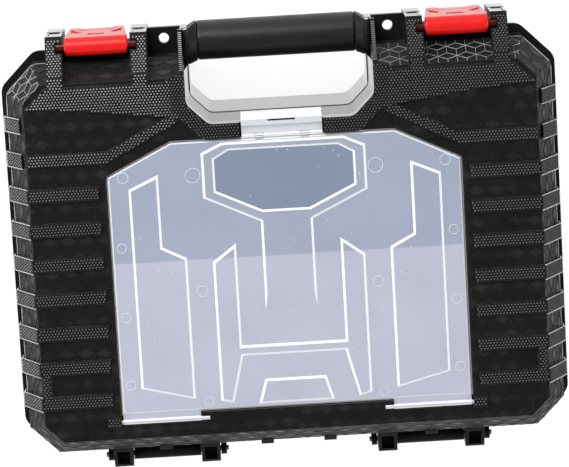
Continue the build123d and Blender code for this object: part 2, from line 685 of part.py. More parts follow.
def rear_pads():
    """Raised panel and ribs on the rear face that the case lies on."""
    rib_end = HALF_BODY - REAR_CHAMFER_WIDTH - REAR_RIB_MARGIN
    rib_start = LID_WIDTH / 2
    plans = [organiser_outline(REAR_PANEL_INSET)]
    for row in range(RIB_ROWS):
        low, high = rib_row_y(row) - RIB_WIDTH / 2, rib_row_y(row) + RIB_WIDTH / 2
        plans += mirrored(make_face(Polyline(
            (rib_end, low), (rib_end, high), (rib_start, high), (rib_start, low), close=True,
        )))
    pads = [prism(plan, 0, REAR_SKIN_Z + WALL / 2) for plan in plans]
    return [chamfer(pad.faces().sort_by(Axis.Z)[0].edges(), PAD_EDGE) for pad in pads]


def tool_bay_walls():
    """Low ribs inside the rear shell that locate the tool, its battery, its charger and its bits."""
    z_span = (REAR_SKIN_Z + WALL / 2, BAY_WALL_TOP)
    low_y, high_y = BODY_BOTTOM + WALL / 2, BODY_TOP - WALL / 2
    cross = box_between((-HALF_BODY, HALF_BODY), (BAY_CROSS_Y, BAY_CROSS_Y + BAY_WALL_THICKNESS), z_span)
    split = box_between((BAY_SPLIT_X, BAY_SPLIT_X + BAY_WALL_THICKNESS), (low_y, BAY_CROSS_Y), z_span)
    side = box_between((-BAY_SIDE_X - BAY_WALL_THICKNESS, -BAY_SIDE_X), (BAY_CROSS_Y, high_y), z_span)
    return [wall & rear_block(WALL / 2) for wall in (cross, split, side)]


def screw_places():
    """Plan places of the screws that hold the tray's flange down on the ledge."""
    x_side = LID_WIDTH / 2 - TRAY_INSET / 2 + RECESS_GAP / 2
    return [(sign * x_side, y) for sign in (-1, 1) for y in (LID_BOTTOM + 14, -20.0, LID_SHOULDER_Y - 8)]


def organiser_tray():
    """Bin under the clear lid, hung by its flange on the ledge of the front shell."""
    body = prism(organiser_outline(TRAY_INSET), TRAY_FLOOR_Z, TRAY_TOP_Z)
    body = fillet(body.edges().filter_by(Axis.Z), 3.0)
    space = prism(organiser_outline(TRAY_INSET + TRAY_WALL), TRAY_FLOOR_Z + TRAY_WALL, TRAY_TOP_Z + 1)
    space = fillet(space.edges().filter_by(Axis.Z), 3.0 - TRAY_WALL / 2)
    flange = prism(organiser_outline(-RECESS_GAP + SIDE_PLAY), LEDGE_Z, TRAY_TOP_Z)
    tray = body + flange - space

    inside_x = LID_WIDTH / 2 - TRAY_INSET - TRAY_WALL
    inside_top = LID_TOP - TRAY_INSET - TRAY_WALL
    rail_top = TRAY_TOP_Z - DIVIDER_HEADROOM
    slot = DIVIDER_THICKNESS / 2 + DIVIDER_SLOT_GAP
    rails = []
    for side in (-1, 1):
        for edge in (-1, 1):
            y = CROSS_DIVIDER_Y + edge * (slot + GUIDE_THICKNESS / 2)
            ends = sorted((side * (inside_x + TRAY_WALL / 2), side * (inside_x - GUIDE_REACH)))
            rails.append(box_between(ends, (y - GUIDE_THICKNESS / 2, y + GUIDE_THICKNESS / 2),
                                     (TRAY_FLOOR_Z + TRAY_WALL / 2, rail_top)))
    for edge in (-1, 1):
        x = edge * (slot + GUIDE_THICKNESS / 2)
        rails.append(box_between((x - GUIDE_THICKNESS / 2, x + GUIDE_THICKNESS / 2),
                                 (inside_top - GUIDE_REACH, inside_top + TRAY_WALL / 2),
                                 (TRAY_FLOOR_Z + TRAY_WALL / 2, rail_top)))
    for rail in rails:
        tray += rail
    for x, y in screw_places():
        tray -= Pos(x, y, LEDGE_Z) * Cylinder(SCREW_RADIUS + RUNNING, 3 * TRAY_FLANGE)
        tray -= Pos(x, y, TRAY_TOP_Z) * Cylinder(SCREW_HEAD_RADIUS + RUNNING, 2 * (SCREW_HEAD_HEIGHT - 0.4))
    return tray


def dividers():
    """Cross wall and centre wall that stand in the tray's guides."""
    low = TRAY_FLOOR_Z + TRAY_WALL + SEATED
    high = TRAY_TOP_Z - DIVIDER_HEADROOM
    half = LID_WIDTH / 2 - TRAY_INSET - TRAY_WALL - DIVIDER_SLOT_GAP
    thick = DIVIDER_THICKNESS / 2
    cross = box_between((-half, half), (CROSS_DIVIDER_Y - thick, CROSS_DIVIDER_Y + thick), (low, high))
    centre = box_between((-thick, thick),
                         (CROSS_DIVIDER_Y + thick + DIVIDER_SLOT_GAP,
                          LID_TOP - TRAY_INSET - TRAY_WALL - DIVIDER_SLOT_GAP), (low, high))
    return cross, centre


def tray_screws():
    """Self-tapping screws through the tray's flange into the ledge."""
    screws = []
    for x, y in screw_places():
        head_low = TRAY_TOP_Z - SCREW_HEAD_HEIGHT + 0.4
        head = Pos(x, y, head_low + SCREW_HEAD_HEIGHT / 2 - 0.2) * Cylinder(
            SCREW_HEAD_RADIUS, SCREW_HEAD_HEIGHT - 0.4)
        shank = Pos(x, y, head_low - SCREW_LENGTH / 2) * Cylinder(SCREW_RADIUS, SCREW_LENGTH)
        screws.append(head + shank)
    return screws


def lid_panels():
    """Plans of the clear lid's raised panels, and the pocket in the middle one."""
    stem = STEM_WIDTH / 2
    emblem = make_face(Polyline(
        (-45.4, 100.6), (45.4, 100.6), (61.2, 93.4), (61.2, 59.5), (stem, 39.6), (stem, STEM_END_Y),
        (-stem, STEM_END_Y), (-stem, 39.6), (-61.2, 59.5), (-61.2, 93.4), close=True,
    ))
    pocket = make_face(Polyline(
        (-41, 96), (41, 96), (53.2, 89), (53.2, 63.5), (18, 46.8), (-18, 46.8), (-53.2, 63.5), (-53.2, 89),
        close=True,
    ))
    wing = make_face(Polyline(
        (76, 15), (93.8, 24.2), (93.8, 79), (116.4, 69), (116.4, -83), (76, -93.3), close=True,
    ))
    yoke = make_face(Polyline(
        (-57, 10.8), (-39, 24.1), (-39, -54), (39, -54), (39, 24.1), (57, 10.8), (57, -95.5), (47.4, -98),
        (38.4, -62), (-38.4, -62), (-47.4, -98), (-57, -95.5), close=True,
    ))
    step = make_face(Polyline((-23, -80.6), (23, -80.6), (28.6, -99.5), (-28.6, -99.5), close=True))
    return emblem, pocket, wing, yoke, step


def organiser_lid():
    """Clear lid with raised panels, two hinge strips and four pegs, and lugs for the clip."""
    lid = prism(organiser_outline(0), LID_Z, LID_TOP_Z)
    lid = chamfer(lid.faces().sort_by(Axis.Z)[-1].edges(), LID_EDGE)
    slope_drop = PANEL_HEIGHT - SEATED
    emblem, pocket, wing, yoke, step = lid_panels()
    middle = raised_pad(emblem, LID_TOP_Z, PANEL_HEIGHT, PANEL_SLOPE, slope_drop)
    over_z = LID_TOP_Z + 2 * PANEL_HEIGHT
    middle -= side_profile([
        (STEM_RAMP_Y, LID_TOP_Z + PANEL_HEIGHT), (STEM_END_Y, LID_TOP_Z), (STEM_END_Y - 1, LID_TOP_Z),
        (STEM_END_Y - 1, over_z), (STEM_RAMP_Y, over_z),
    ], -STEM_WIDTH, STEM_WIDTH)
    lid += middle
    hollow = prism(pocket, LID_TOP_Z, LID_TOP_Z + PANEL_HEIGHT)
    floor = hollow.faces().sort_by(Axis.Z)[0]
    lid -= chamfer(floor.edges(), PANEL_SLOPE, slope_drop, reference=floor)
    for plan in [wing, mirror(wing, about=Plane.YZ), yoke, step]:
        lid += raised_pad(plan, LID_TOP_Z, PANEL_HEIGHT, PANEL_SLOPE, slope_drop)

    outer_x = LID_WIDTH / 2
    strip = box_between((STRIP_INNER_X, outer_x), (LID_HINGE_Y, LID_BOTTOM + LID_EDGE),
                        (LID_Z, LID_Z + STRIP_THICKNESS))
    strip += rod(STRIP_INNER_X, outer_x, LID_HINGE_Y, LID_HINGE_Z, LID_BARREL_RADIUS)
    strip += rod(STRIP_INNER_X - PEG_LENGTH, outer_x + RECESS_GAP + PEG_LENGTH, LID_HINGE_Y, LID_HINGE_Z,
                 PEG_RADIUS)
    for piece in mirrored(strip):
        lid += piece

    for x_low, x_high in clip_lug_spans():
        lug = rod(x_low, x_high, CLIP_HINGE_Y, LID_HINGE_Z, CLIP_KNUCKLE_RADIUS)
        lug += box_between((x_low, x_high), (LID_TOP - 1, CLIP_HINGE_Y), (LID_Z, LID_TOP_Z))
        lug -= rod(x_low - 1, x_high + 1, CLIP_HINGE_Y, LID_HINGE_Z, CLIP_PIN_RADIUS + RUNNING)
        lid += lug
    return lid


def clip_lug_spans():
    """X spans of the lugs on the clear lid that carry the clip."""
    half = CLIP_WIDTH / 2
    third = half / 3
    return [(-half + third, -half + third + CLIP_LUG_THICKNESS * 3),
            (half - third - CLIP_LUG_THICKNESS * 3, half - third)]


def organiser_clip():
    """Milky snap clip with moulded pins, which reaches over the rim of the hand opening."""
    half = CLIP_WIDTH / 2
    low = LID_HINGE_Z - CLIP_WEB / 2
    web_top = low + CLIP_WEB
    bar_top = web_top + CLIP_THICKNESS
    bar_y = CLIP_HINGE_Y + CLIP_STEP
    nose = OPENING_FLOOR + HOOK_CLEARANCE
    nose_z = low - CLIP_DROP
    tip = OPENING_FLOOR + CLIP_OVERHANG
    tip_z = nose_z + CLIP_WEB
    clip = side_profile([
        (CLIP_HINGE_Y, low), (CLIP_HINGE_Y, web_top), (bar_y, web_top), (bar_y + CLIP_WEB / 2, bar_top),
        (nose + CLIP_WEB, bar_top), (tip, tip_z + CLIP_THICKNESS), (tip, tip_z), (tip - CLIP_WEB, tip_z),
        (nose + 1.5 * CLIP_WEB, low), (nose + CLIP_WEB, nose_z), (nose, nose_z + CLIP_WEB), (nose, low),
    ], -half, half)
    clip += rod(-half, half, CLIP_HINGE_Y, LID_HINGE_Z, CLIP_KNUCKLE_RADIUS)
    removed = [box_between((-CLIP_SLIT_LENGTH / 2, CLIP_SLIT_LENGTH / 2),
                           (CLIP_SLIT_Y - CLIP_SLIT_WIDTH / 2, CLIP_SLIT_Y + CLIP_SLIT_WIDTH / 2),
                           (web_top, PAD_Z + 1))]
    pins = []
    lug_room = CLIP_KNUCKLE_RADIUS + SIDE_PLAY
    for x_low, x_high in clip_lug_spans():
        x_gap = (x_low - SIDE_PLAY, x_high + SIDE_PLAY)
        removed.append(box_between(x_gap, (CLIP_HINGE_Y - lug_room, CLIP_HINGE_Y + lug_room),
                                   (LID_HINGE_Z - lug_room, bar_top)))
        pins.append(rod(x_gap[0], x_gap[1], CLIP_HINGE_Y, LID_HINGE_Z, CLIP_PIN_RADIUS))
    return (clip - removed) + pins


def latch(centre_x):
    """Red latch: round barrel with stub pivots, a plate over the seam and a hook at its free end."""
    half = LATCH_WIDTH / 2
    x_span = (centre_x - half, centre_x + half)
    y, z = LATCH_PIVOT_Y, LATCH_PIVOT_Z
    top = y + LATCH_BARREL_RADIUS
    end_z = REAR_RIM_Z - LATCH_REACH
    end_top = top + LATCH_LIFT
    hook_y = CATCH_Y + HOOK_CLEARANCE
    plate = side_profile([
        (top, z), (end_top, end_z), (hook_y, end_z), (hook_y, end_z + LATCH_HOOK),
        (end_top - LATCH_SKIN, end_z + LATCH_HOOK), (top - LATCH_SKIN, z),
    ], *x_span)
    barrel = rod(*x_span, y, z, LATCH_BARREL_RADIUS)
    barrel = fillet(barrel.edges().filter_by(GeomType.CIRCLE), LATCH_EDGE)
    reach = BAY_WIDTH / 2 + LATCH_STUB_DEPTH
    stubs = rod(centre_x - reach, centre_x + reach, y, z, LATCH_STUB_RADIUS)

    surface = Plane((centre_x, top, z), x_dir=(1, 0, 0), z_dir=(0, z - end_z, LATCH_LIFT))
    length = math.hypot(z - end_z, LATCH_LIFT)
    wedge = make_face(Polyline((half, 0), (half + 1, 0), (half + 1, length + 1),
                               (half - LATCH_TAPER, length + 1), close=True))
    deep = surface.offset(-(end_top - hook_y) - 1)
    wedges = [extrude(deep * face, amount=end_top, dir=surface.z_dir) for face in mirrored(wedge)]
    shallow = surface.offset(-LATCH_POCKET_DEPTH)
    pockets = []
    for face in latch_pockets(length):
        pockets.append(extrude(shallow * face, amount=LATCH_SKIN, dir=surface.z_dir))
    return (plate - wedges - pockets) + [barrel, stubs]


def latch_pockets(length):
    """Shallow pockets in the latch's plate, which leave a raised X between them."""
    wide, narrow = LATCH_WIDTH * 0.27, LATCH_WIDTH * 0.15
    side = LATCH_WIDTH / 2 - LATCH_TAPER - LATCH_EDGE
    end = make_face(Polyline((-wide, length), (wide, length), (narrow, length * 0.7), (-narrow, length * 0.7),
                             close=True))
    band = make_face(Polyline((-narrow, length * 0.2), (narrow, length * 0.2), (narrow * 0.75, length * 0.33),
                              (-narrow * 0.75, length * 0.33), close=True))
    flank = make_face(Polyline((side, length * 0.25), (side, length * 0.72), (wide * 0.8, length * 0.45),
                               close=True))
    return [end, band] + mirrored(flank)


def handle_core():
    """Bar through the grip, with a spigot at each end that sits in the rear shell's ears."""
    bar = rod(-COLLAR_OUTER_X, COLLAR_OUTER_X, GRIP_Y, GRIP_Z, CORE_RADIUS)
    end_x = COLLAR_OUTER_X + EAR_THICKNESS
    return bar + rod(-end_x, end_x, GRIP_Y, GRIP_Z, SPIGOT_RADIUS)


def handle_grip():
    """Soft sleeve with rounded ends."""
    sleeve = rod(-HALF_GRIP, HALF_GRIP, GRIP_Y, GRIP_Z, GRIP_RADIUS)
    sleeve = fillet(sleeve.edges().filter_by(GeomType.CIRCLE), 2.0)
    return sleeve - rod(-HALF_GRIP - 1, HALF_GRIP + 1, GRIP_Y, GRIP_Z, CORE_RADIUS + SEATED)


def handle_collar():
    """Flared ring between the sleeve and the right-hand ear, with its top sloped from one to the other."""
    inner_x = HALF_GRIP + SEATED
    wide_x = inner_x + COLLAR_STEP
    cone = revolve(make_face(Polyline(
        (inner_x, CORE_RADIUS + SEATED), (inner_x, GRIP_RADIUS + 0.3), (wide_x, COLLAR_RADIUS),
        (COLLAR_OUTER_X, COLLAR_RADIUS), (COLLAR_OUTER_X, CORE_RADIUS + SEATED), close=True,
    )), axis=Axis.X)
    ring = Pos(0, GRIP_Y, GRIP_Z) * cone
    low_y = GRIP_Y - 2 * COLLAR_RADIUS
    trim = make_face(Polyline(
        (inner_x, low_y), (inner_x, GRIP_Y + GRIP_RADIUS), (COLLAR_OUTER_X, EAR_TOP), (COLLAR_OUTER_X, low_y),
        close=True,
    ))
    return ring & prism(trim, 0, PAD_Z)


def hinge_pin():
    """Rod through the right-hand hinge's loops and barrels."""
    half = HINGE_PIN_LENGTH / 2
    return rod(HINGE_CENTRE - half, HINGE_CENTRE + half, HINGE_Y, SEAM_Z, HINGE_PIN_RADIUS)


def pieces():
    """Every separate piece of the case, by node name."""
    cross, centre = dividers()
    collar = handle_collar()
    pin = hinge_pin()
    return {
        "rear_shell": rear_shell(),
        "front_shell": front_shell(),
        "organiser_tray": organiser_tray(),
        "cross_divider": cross,
        "centre_divider": centre,
        "tray_screws": tray_screws(),
        "organiser_lid": organiser_lid(),
        "organiser_clip": organiser_clip(),
        "latch_left": latch(-BAY_CENTRE),
        "latch_right": latch(BAY_CENTRE),
        "handle_core": handle_core(),
        "handle_grip": handle_grip(),
        "collar_left": mirror(collar, about=Plane.YZ),
        "collar_right": collar,
        "hinge_pin_left": mirror(pin, about=Plane.YZ),
        "hinge_pin_right": pin,
    }


def laid_down(shape):
    """Turn a piece half round and centre it, as the case lies on its rear face."""
    high = GRIP_Y + GRIP_RADIUS
    low = HINGE_Y - LOOP_RADIUS
    return Pos(0, (high + low) / 2, 0) * Rot(0, 0, 180) * shape


def write_parts():
    """Write one STEP file for each piece."""
    os.makedirs("parts", exist_ok=True)
    for name, shape in pieces().items():
        solids = shape if isinstance(shape, list) else [shape]
        placed = [laid_down(solid) for solid in solids]
        export_step(placed[0] if len(placed) == 1 else Compound(children=placed), f"parts/{name}.step")


write_parts()
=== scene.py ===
"""Looks of the power tool case: moulded relief, finishes, studio and camera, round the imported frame.

New pieces are drawn in millimetres as the case is seen from its front: +X to the right, +Y towards
the hand grip and +Z out of the front face. `FrontView` takes them to the frame, where the case lies
on its rear face with the grip towards -Y.
"""
import json
import logging
import math
from dataclasses import dataclass
from enum import Enum
from functools import cache
from typing import Callable, Iterable, Optional, Protocol, Sequence

import bmesh
import bpy
from mathutils import Matrix, Vector


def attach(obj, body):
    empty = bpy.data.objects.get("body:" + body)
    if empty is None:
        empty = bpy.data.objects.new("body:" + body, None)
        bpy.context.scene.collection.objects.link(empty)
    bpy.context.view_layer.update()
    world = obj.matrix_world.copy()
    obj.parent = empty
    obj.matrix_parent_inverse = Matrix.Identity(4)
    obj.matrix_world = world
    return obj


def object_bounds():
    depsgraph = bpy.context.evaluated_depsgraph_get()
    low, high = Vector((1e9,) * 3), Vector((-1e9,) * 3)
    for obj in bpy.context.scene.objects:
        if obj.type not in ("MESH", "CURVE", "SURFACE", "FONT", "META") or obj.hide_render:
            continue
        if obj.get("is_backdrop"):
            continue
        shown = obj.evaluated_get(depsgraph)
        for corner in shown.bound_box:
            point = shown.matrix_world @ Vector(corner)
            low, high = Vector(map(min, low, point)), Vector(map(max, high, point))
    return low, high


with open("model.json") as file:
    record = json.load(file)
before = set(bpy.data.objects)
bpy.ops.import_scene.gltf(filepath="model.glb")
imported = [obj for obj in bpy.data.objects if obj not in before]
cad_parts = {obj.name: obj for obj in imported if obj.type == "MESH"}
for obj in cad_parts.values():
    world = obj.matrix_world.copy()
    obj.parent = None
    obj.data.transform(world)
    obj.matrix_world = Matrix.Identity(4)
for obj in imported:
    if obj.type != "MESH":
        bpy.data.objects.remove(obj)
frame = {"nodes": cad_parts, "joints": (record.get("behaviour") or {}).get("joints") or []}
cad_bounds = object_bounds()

log = logging.getLogger("tool_case")
MM = 0.001
Pair = tuple[float, float]
Point = tuple[float, float, float]
Colour = tuple[float, float, float]
Outline = Sequence[Pair]
BMesh = bmesh.types.BMesh
Socket = bpy.types.NodeSocket


class Body(Enum):
    """Bodies that carry new pieces, as the frame names them."""

    BASE = "base"
    FRONT = "front"
    LID = "lid"
    CLIP = "clip"


@dataclass(frozen=True)
class CaseSizes:
    """Driving sizes of the case in millimetres, seen from its front."""

    half_body: float = 203.5
    body_top: float = 164.0
    body_bottom: float = -134.0
    corner_bevel: float = 21.0
    seam: float = 64.0
    rear_chamfer_width: float = 10.0
    rear_chamfer_depth: float = 18.0
    rear_skin: float = 2.0
    chamfer_width: float = 13.2
    shoulder: float = 85.0
    face: float = 110.0
    pad: float = 112.0
    flange_bottom: float = 57.8
    half_opening: float = 69.8
    opening_floor: float = 115.0
    opening_bevel: float = 16.0
    half_lid: float = 131.4
    lid_bottom: float = -101.8
    lid_shoulder: float = 78.8
    lid_top: float = 102.4
    half_lid_top: float = 83.1
    lid_surface: float = 109.4
    recess_gap: float = 1.5
    hinge_y: float = -143.6
    polish_reach: float = 3.0
    seam_dull: float = 4.5

    @property
    def half_face(self) -> float:
        """Half the width of the flat front face."""
        return self.half_body - self.chamfer_width

    @property
    def face_bevel(self) -> float:
        """Corner bevel of the flat front face."""
        return self.corner_bevel - self.chamfer_width * (2 - math.sqrt(2))

    @property
    def face_top(self) -> float:
        """Edge of the flat front face towards the grip."""
        return self.body_top - self.chamfer_width

    @property
    def face_bottom(self) -> float:
        """Edge of the flat front face towards the hinge."""
        return self.body_bottom + self.chamfer_width


SIZES = CaseSizes()


@dataclass(frozen=True)
class FrontView:
    """Turns front-view millimetres into the frame's metres."""

    middle_y: float

    @classmethod
    def from_frame(cls) -> "FrontView":
        """Find the middle of the case from the hinge joint, whose front-view place is known."""
        hinge = next(joint for joint in frame["joints"] if joint["name"] == "case_hinge")
        return cls(middle_y=hinge["pos_m"][1] / MM + SIZES.hinge_y)

    @property
    def matrix(self) -> Matrix:
        """Half turn about Z, shift and scale."""
        shift = Matrix.Translation((0.0, self.middle_y * MM, 0.0))
        return shift @ Matrix.Rotation(math.pi, 4, "Z") @ Matrix.Scale(MM, 4)


VIEW = FrontView.from_frame()


class Finish(Protocol):
    """Description of a surface that can build its material."""

    def material(self) -> bpy.types.Material:
        """Build the material."""


@cache
def material_of(finish: Finish) -> bpy.types.Material:
    """A finish's material, built once."""
    return finish.material()


def mesh_of(name: str, bm: BMesh) -> bpy.types.Mesh:
    """Turn a bmesh into a mesh, and free it.

    Args:
        name: The mesh's name.
        bm: The bmesh.

    Returns:
        The mesh.
    """
    mesh = bpy.data.meshes.new(name)
    bm.to_mesh(mesh)
    bm.free()
    return mesh


def placed(name: str, data: bpy.types.ID) -> bpy.types.Object:
    """New object in the scene.

    Args:
        name: The object's name.
        data: Its mesh, light or camera.

    Returns:
        The object.
    """
    made = bpy.data.objects.new(name, data)
    bpy.context.scene.collection.objects.link(made)
    return made


def add_piece(name: str, bm: BMesh, body: Body, finish: Finish,
              smooth: bool = False) -> None:
    """Turn a front-view bmesh into a finished object that rides on a body.

    Args:
        name: The piece's name.
        bm: Its mesh, in front-view millimetres. It is freed here.
        body: The body it moves with.
        finish: Its finish.
        smooth: Whether its faces are shaded smooth.
    """
    bmesh.ops.transform(bm, matrix=VIEW.matrix, verts=bm.verts)
    for face in bm.faces:
        face.smooth = smooth
    mesh = mesh_of(name, bm)
    mesh.materials.append(material_of(finish))
    piece = placed(name, mesh)
    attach(piece, body.value)
    log.info("%s: %d faces on %s", name, len(mesh.polygons), body.value)


def dress(finish: Finish, *nodes: str) -> None:
    """Give nodes of the frame their finish, in their own material slots.

    Args:
        finish: The finish.
        *nodes: Names of the nodes.
    """
    material = material_of(finish)
    for node in nodes:
        piece = frame["nodes"][node]
        if not piece.data.materials:
            piece.data.materials.append(material)
        for slot in piece.material_slots:
            slot.link = "OBJECT"
            slot.material = material
        log.info("%s: dressed in %s", node, material.name)


def rectangle(x_low: float, x_high: float, y_low: float, y_high: float) -> Outline:
    """Corners of an upright rectangle."""
    return [(x_low, y_low), (x_high, y_low), (x_high, y_high), (x_low, y_high)]


def reach(outlines: Sequence[Outline]) -> tuple[Vector, Vector]:
    """Lower and upper corner of the rectangle round outlines."""
    xs, ys = zip(*(point for outline in outlines for point in outline))
    return Vector((min(xs), min(ys), 0.0)), Vector((max(xs), max(ys), 0.0))


def staggered(low: Vector, high: Vector, pitch: float, row_pitch: float, spare: int = 0) -> Iterable[Pair]:
    """Points of a staggered grid over a rectangle.

    Args:
        low: Its lower corner.
        high: Its upper corner.
        pitch: Distance between points along a row.
        row_pitch: Distance between rows.
        spare: Rows and columns wanted beyond the rectangle.

    Yields:
        X and Y of each point, row by row.
    """
    for row in range(math.floor(low.y / row_pitch) - spare, math.ceil(high.y / row_pitch) + spare + 1):
        shift = (row % 2) / 2
        first = math.floor(low.x / pitch - shift) - spare
        last = math.ceil(high.x / pitch - shift) + spare
        for column in range(first, last + 1):
            yield (column + shift) * pitch, row * row_pitch


def clear_inside(x: float, y: float, outline: Outline, margin: float) -> bool:
    """Whether a point lies inside an outline, at least `margin` from its sides.

    Args:
        x: X of the point.
        y: Y of the point.
        outline: Corners of the outline.
        margin: Least distance from its sides.

    Returns:
        True for a point inside that is clear of every side.
    """
    inside = False
    count = len(outline)
    for index in range(count):
        ax, ay = outline[index]
        bx, by = outline[(index + 1) % count]
        dx, dy = bx - ax, by - ay
        share = max(0.0, min(1.0, ((x - ax) * dx + (y - ay) * dy) / (dx * dx + dy * dy)))
        if math.hypot(x - ax - share * dx, y - ay - share * dy) < margin:
            return False
        if (ay > y) != (by > y) and x < ax + (y - ay) / dy * dx:
            inside = not inside
    return inside


def bead(bm: BMesh, points: Sequence[Vector], radius: float, segments: int = 5) -> None:
    """Add a thin raised line through points.

    Args:
        bm: The mesh that takes it.
        points: Ends of its straight stretches, in front-view millimetres.
        radius: Its radius.
        segments: Sides of its section.
    """
    for start, end in zip(points, points[1:]):
        place = (end - start).to_track_quat("Z", "Y").to_matrix().to_4x4()
        place.translation = (start + end) / 2
        bmesh.ops.create_cone(bm, cap_ends=True, segments=segments, radius1=radius, radius2=radius,
                              depth=(end - start).length + radius, matrix=place)


@dataclass(frozen=True)
class Patch:
    """Flat area of the surface, with corners in order as seen from outside."""

    corners: tuple[Point, ...]
    across: Point = (1.0, 0.0, 0.0)
    origin: Optional[Point] = None

    @property
    def matrix(self) -> Matrix:
        """Local frame: X along the rows, Z out of the surface.

        Returns:
            The local frame's place in the front view.
        """
        points = [Vector(corner) for corner in self.corners]
        normal = (points[1] - points[0]).cross(points[2] - points[0]).normalized()
        across = Vector(self.across)
        across = (across - normal * across.dot(normal)).normalized()
        matrix = Matrix((across, normal.cross(across), normal)).transposed().to_4x4()
        matrix.translation = Vector(self.origin) if self.origin else points[0]
        return matrix

    @property
    def outline(self) -> list[Pair]:
        """Corners in the local frame."""
        back = self.matrix.inverted()
        return [tuple((back @ Vector(corner)).xy) for corner in self.corners]

    def mirror(self) -> "Patch":
        """The same patch on the other half of the case.

        Returns:
            The mirrored patch, also seen from outside.
        """
        corners = tuple((-x, y, z) for x, y, z in reversed(self.corners))
        x, y, z = self.across
        return Patch(corners, (-x, y, z), self.origin and (-self.origin[0], *self.origin[1:]))


@dataclass(frozen=True)
class Knurling:
    """Staggered rows of small moulded pips."""

    pitch: float = 2.4
    row_pitch: float = 2.03
    radius: float = 0.72
    height: float = 0.48

    def pip(self, bm: BMesh, place: Matrix) -> None:
        """Add one domed pip whose foot is at `place`, with Z out of the surface."""
        dome = Matrix.Diagonal((self.radius, self.radius, self.height, 1.0))
        bmesh.ops.create_icosphere(bm, subdivisions=1, radius=1.0, matrix=place @ dome)

    def cover(self, bm: BMesh, patch: Patch, margin: float,
              blocked: Optional[Callable[[Vector], bool]] = None) -> None:
        """Spread pips over a patch.

        Args:
            bm: The mesh that takes them.
            patch: The patch, in front-view millimetres.
            margin: Least distance from a pip's middle to the patch's sides.
            blocked: Says whether a front-view point has to stay free of pips.
        """
        matrix = patch.matrix
        outline = patch.outline
        low, high = reach([outline])
        middle, half = (low + high) / 2, (high - low) / 2
        for x, y in staggered(-half, half, self.pitch, self.row_pitch):
            point = middle + Vector((x, y, 0.0))
            if not clear_inside(point.x, point.y, outline, margin):
                continue
            if blocked and blocked(matrix @ point):
                continue
            self.pip(bm, matrix @ Matrix.Translation(point))

    def cover_outlines(self, bm: BMesh, outlines: Sequence[Outline], margin: float,
                       keep_out: Optional[Callable[[float, float], bool]] = None) -> None:
        """Spread pips on one shared grid over outlines that may overlap, on both halves of the face.

        Args:
            bm: The mesh that takes them.
            outlines: Tops of the bands on the right half.
            margin: Least distance from a pip's middle to an outline's sides.
            keep_out: Says whether a point belongs to other pips.
        """
        for x, y in staggered(*reach(outlines), self.pitch, self.row_pitch):
            if keep_out and keep_out(x, y):
                continue
            if any(clear_inside(x, y, outline, margin) for outline in outlines):
                for side in (-1, 1):
                    self.pip(bm, Matrix.Translation((side * x, y, SIZES.pad)))


@dataclass(frozen=True)
class CubeRelief:
    """Raised lines and tiles of a tumbling-block pattern: hexagons with three spokes each."""

    side: float = 8.2
    line_radius: float = 0.5
    sink: float = 0.18
    tile_share: float = 0.86
    tile_height: float = 0.1

    def cube_lines(self, bm: BMesh, centre: Vector) -> None:
        """Three sides of a cube's outline, and the three edges from its middle.

        Args:
            bm: The mesh that takes them.
            centre: The cube's middle, in the patch's frame.
        """
        up = Vector((0.0, 0.0, 1.0))
        rim = []
        for corner in range(6):
            angle = math.radians(30 + 60 * corner)
            rim.append(centre + self.side * Vector((math.cos(angle), math.sin(angle), 0.0)))
        for start, end in ((rim[0], rim[1]), (rim[1], rim[2]), (rim[2], rim[3]),
                           (centre, rim[0]), (centre, rim[2]), (centre, rim[4])):
            along = (end - start).normalized()
            place = Matrix((up.cross(along), up, along)).transposed().to_4x4()
            place.translation = (start + end) / 2 - up * self.sink
            bmesh.ops.create_cone(bm, cap_ends=True, segments=3, radius1=self.line_radius,
                                  radius2=self.line_radius, depth=(end - start).length, matrix=place)

    def cube_tile(self, bm: BMesh, centre: Vector) -> None:
        """Thin raised tile on the cube's upper side.

        Args:
            bm: The mesh that takes it.
            centre: The cube's middle, in the patch's frame.
        """
        place = Matrix.Translation(centre + Vector((0.0, self.side / 2, 0.0)))
        half_width = math.sqrt(3) / 2 * self.side * self.tile_share
        size = Matrix.Diagonal((half_width, self.side / 2 * self.tile_share, 1.0, 1.0))
        bmesh.ops.create_cone(bm, cap_ends=True, segments=4, radius1=1.0, radius2=1.0,
                              depth=2 * self.tile_height, matrix=place @ size)

    def cover(self, patch: Patch, tiles: bool) -> BMesh:
        """Lines or tiles over one convex patch, trimmed to its sides.

        Args:
            patch: The patch, in front-view millimetres.
            tiles: Whether to make the tiles instead of the lines.

        Returns:
            A mesh in front-view millimetres.
        """
        bm = bmesh.new()
        outline = patch.outline
        up = Vector((0.0, 0.0, 1.0))
        draw = self.cube_tile if tiles else self.cube_lines
        for x, y in staggered(*reach([outline]), math.sqrt(3) * self.side, 1.5 * self.side, spare=1):
            draw(bm, Vector((x, y, 0.0)))
        count = len(outline)
        for index in range(count):
            here = Vector((*outline[index], 0.0))
            side = Vector((*outline[(index + 1) % count], 0.0)) - here
            outwards = side.cross(up)
            bmesh.ops.bisect_plane(bm, geom=bm.verts[:] + bm.edges[:] + bm.faces[:], plane_co=here,
                                   plane_no=outwards, clear_outer=True)
            rim = [edge for edge in bm.edges if edge.is_boundary]
            bmesh.ops.holes_fill(bm, edges=rim)
        bmesh.ops.transform(bm, matrix=patch.matrix, verts=bm.verts)
        return bm

    def cover_all(self, patches: Sequence[Patch], tiles: bool = False) -> BMesh:
        """Lines or tiles over many patches, joined in one mesh.

        Args:
            patches: The patches, in front-view millimetres.
            tiles: Whether to make the tiles instead of the lines.

        Returns:
            One mesh in front-view millimetres.
        """
        joined = bmesh.new()
        for patch in patches:
            mesh = mesh_of("patch", self.cover(patch, tiles))
            joined.from_mesh(mesh)
            bpy.data.meshes.remove(mesh)
        return joined


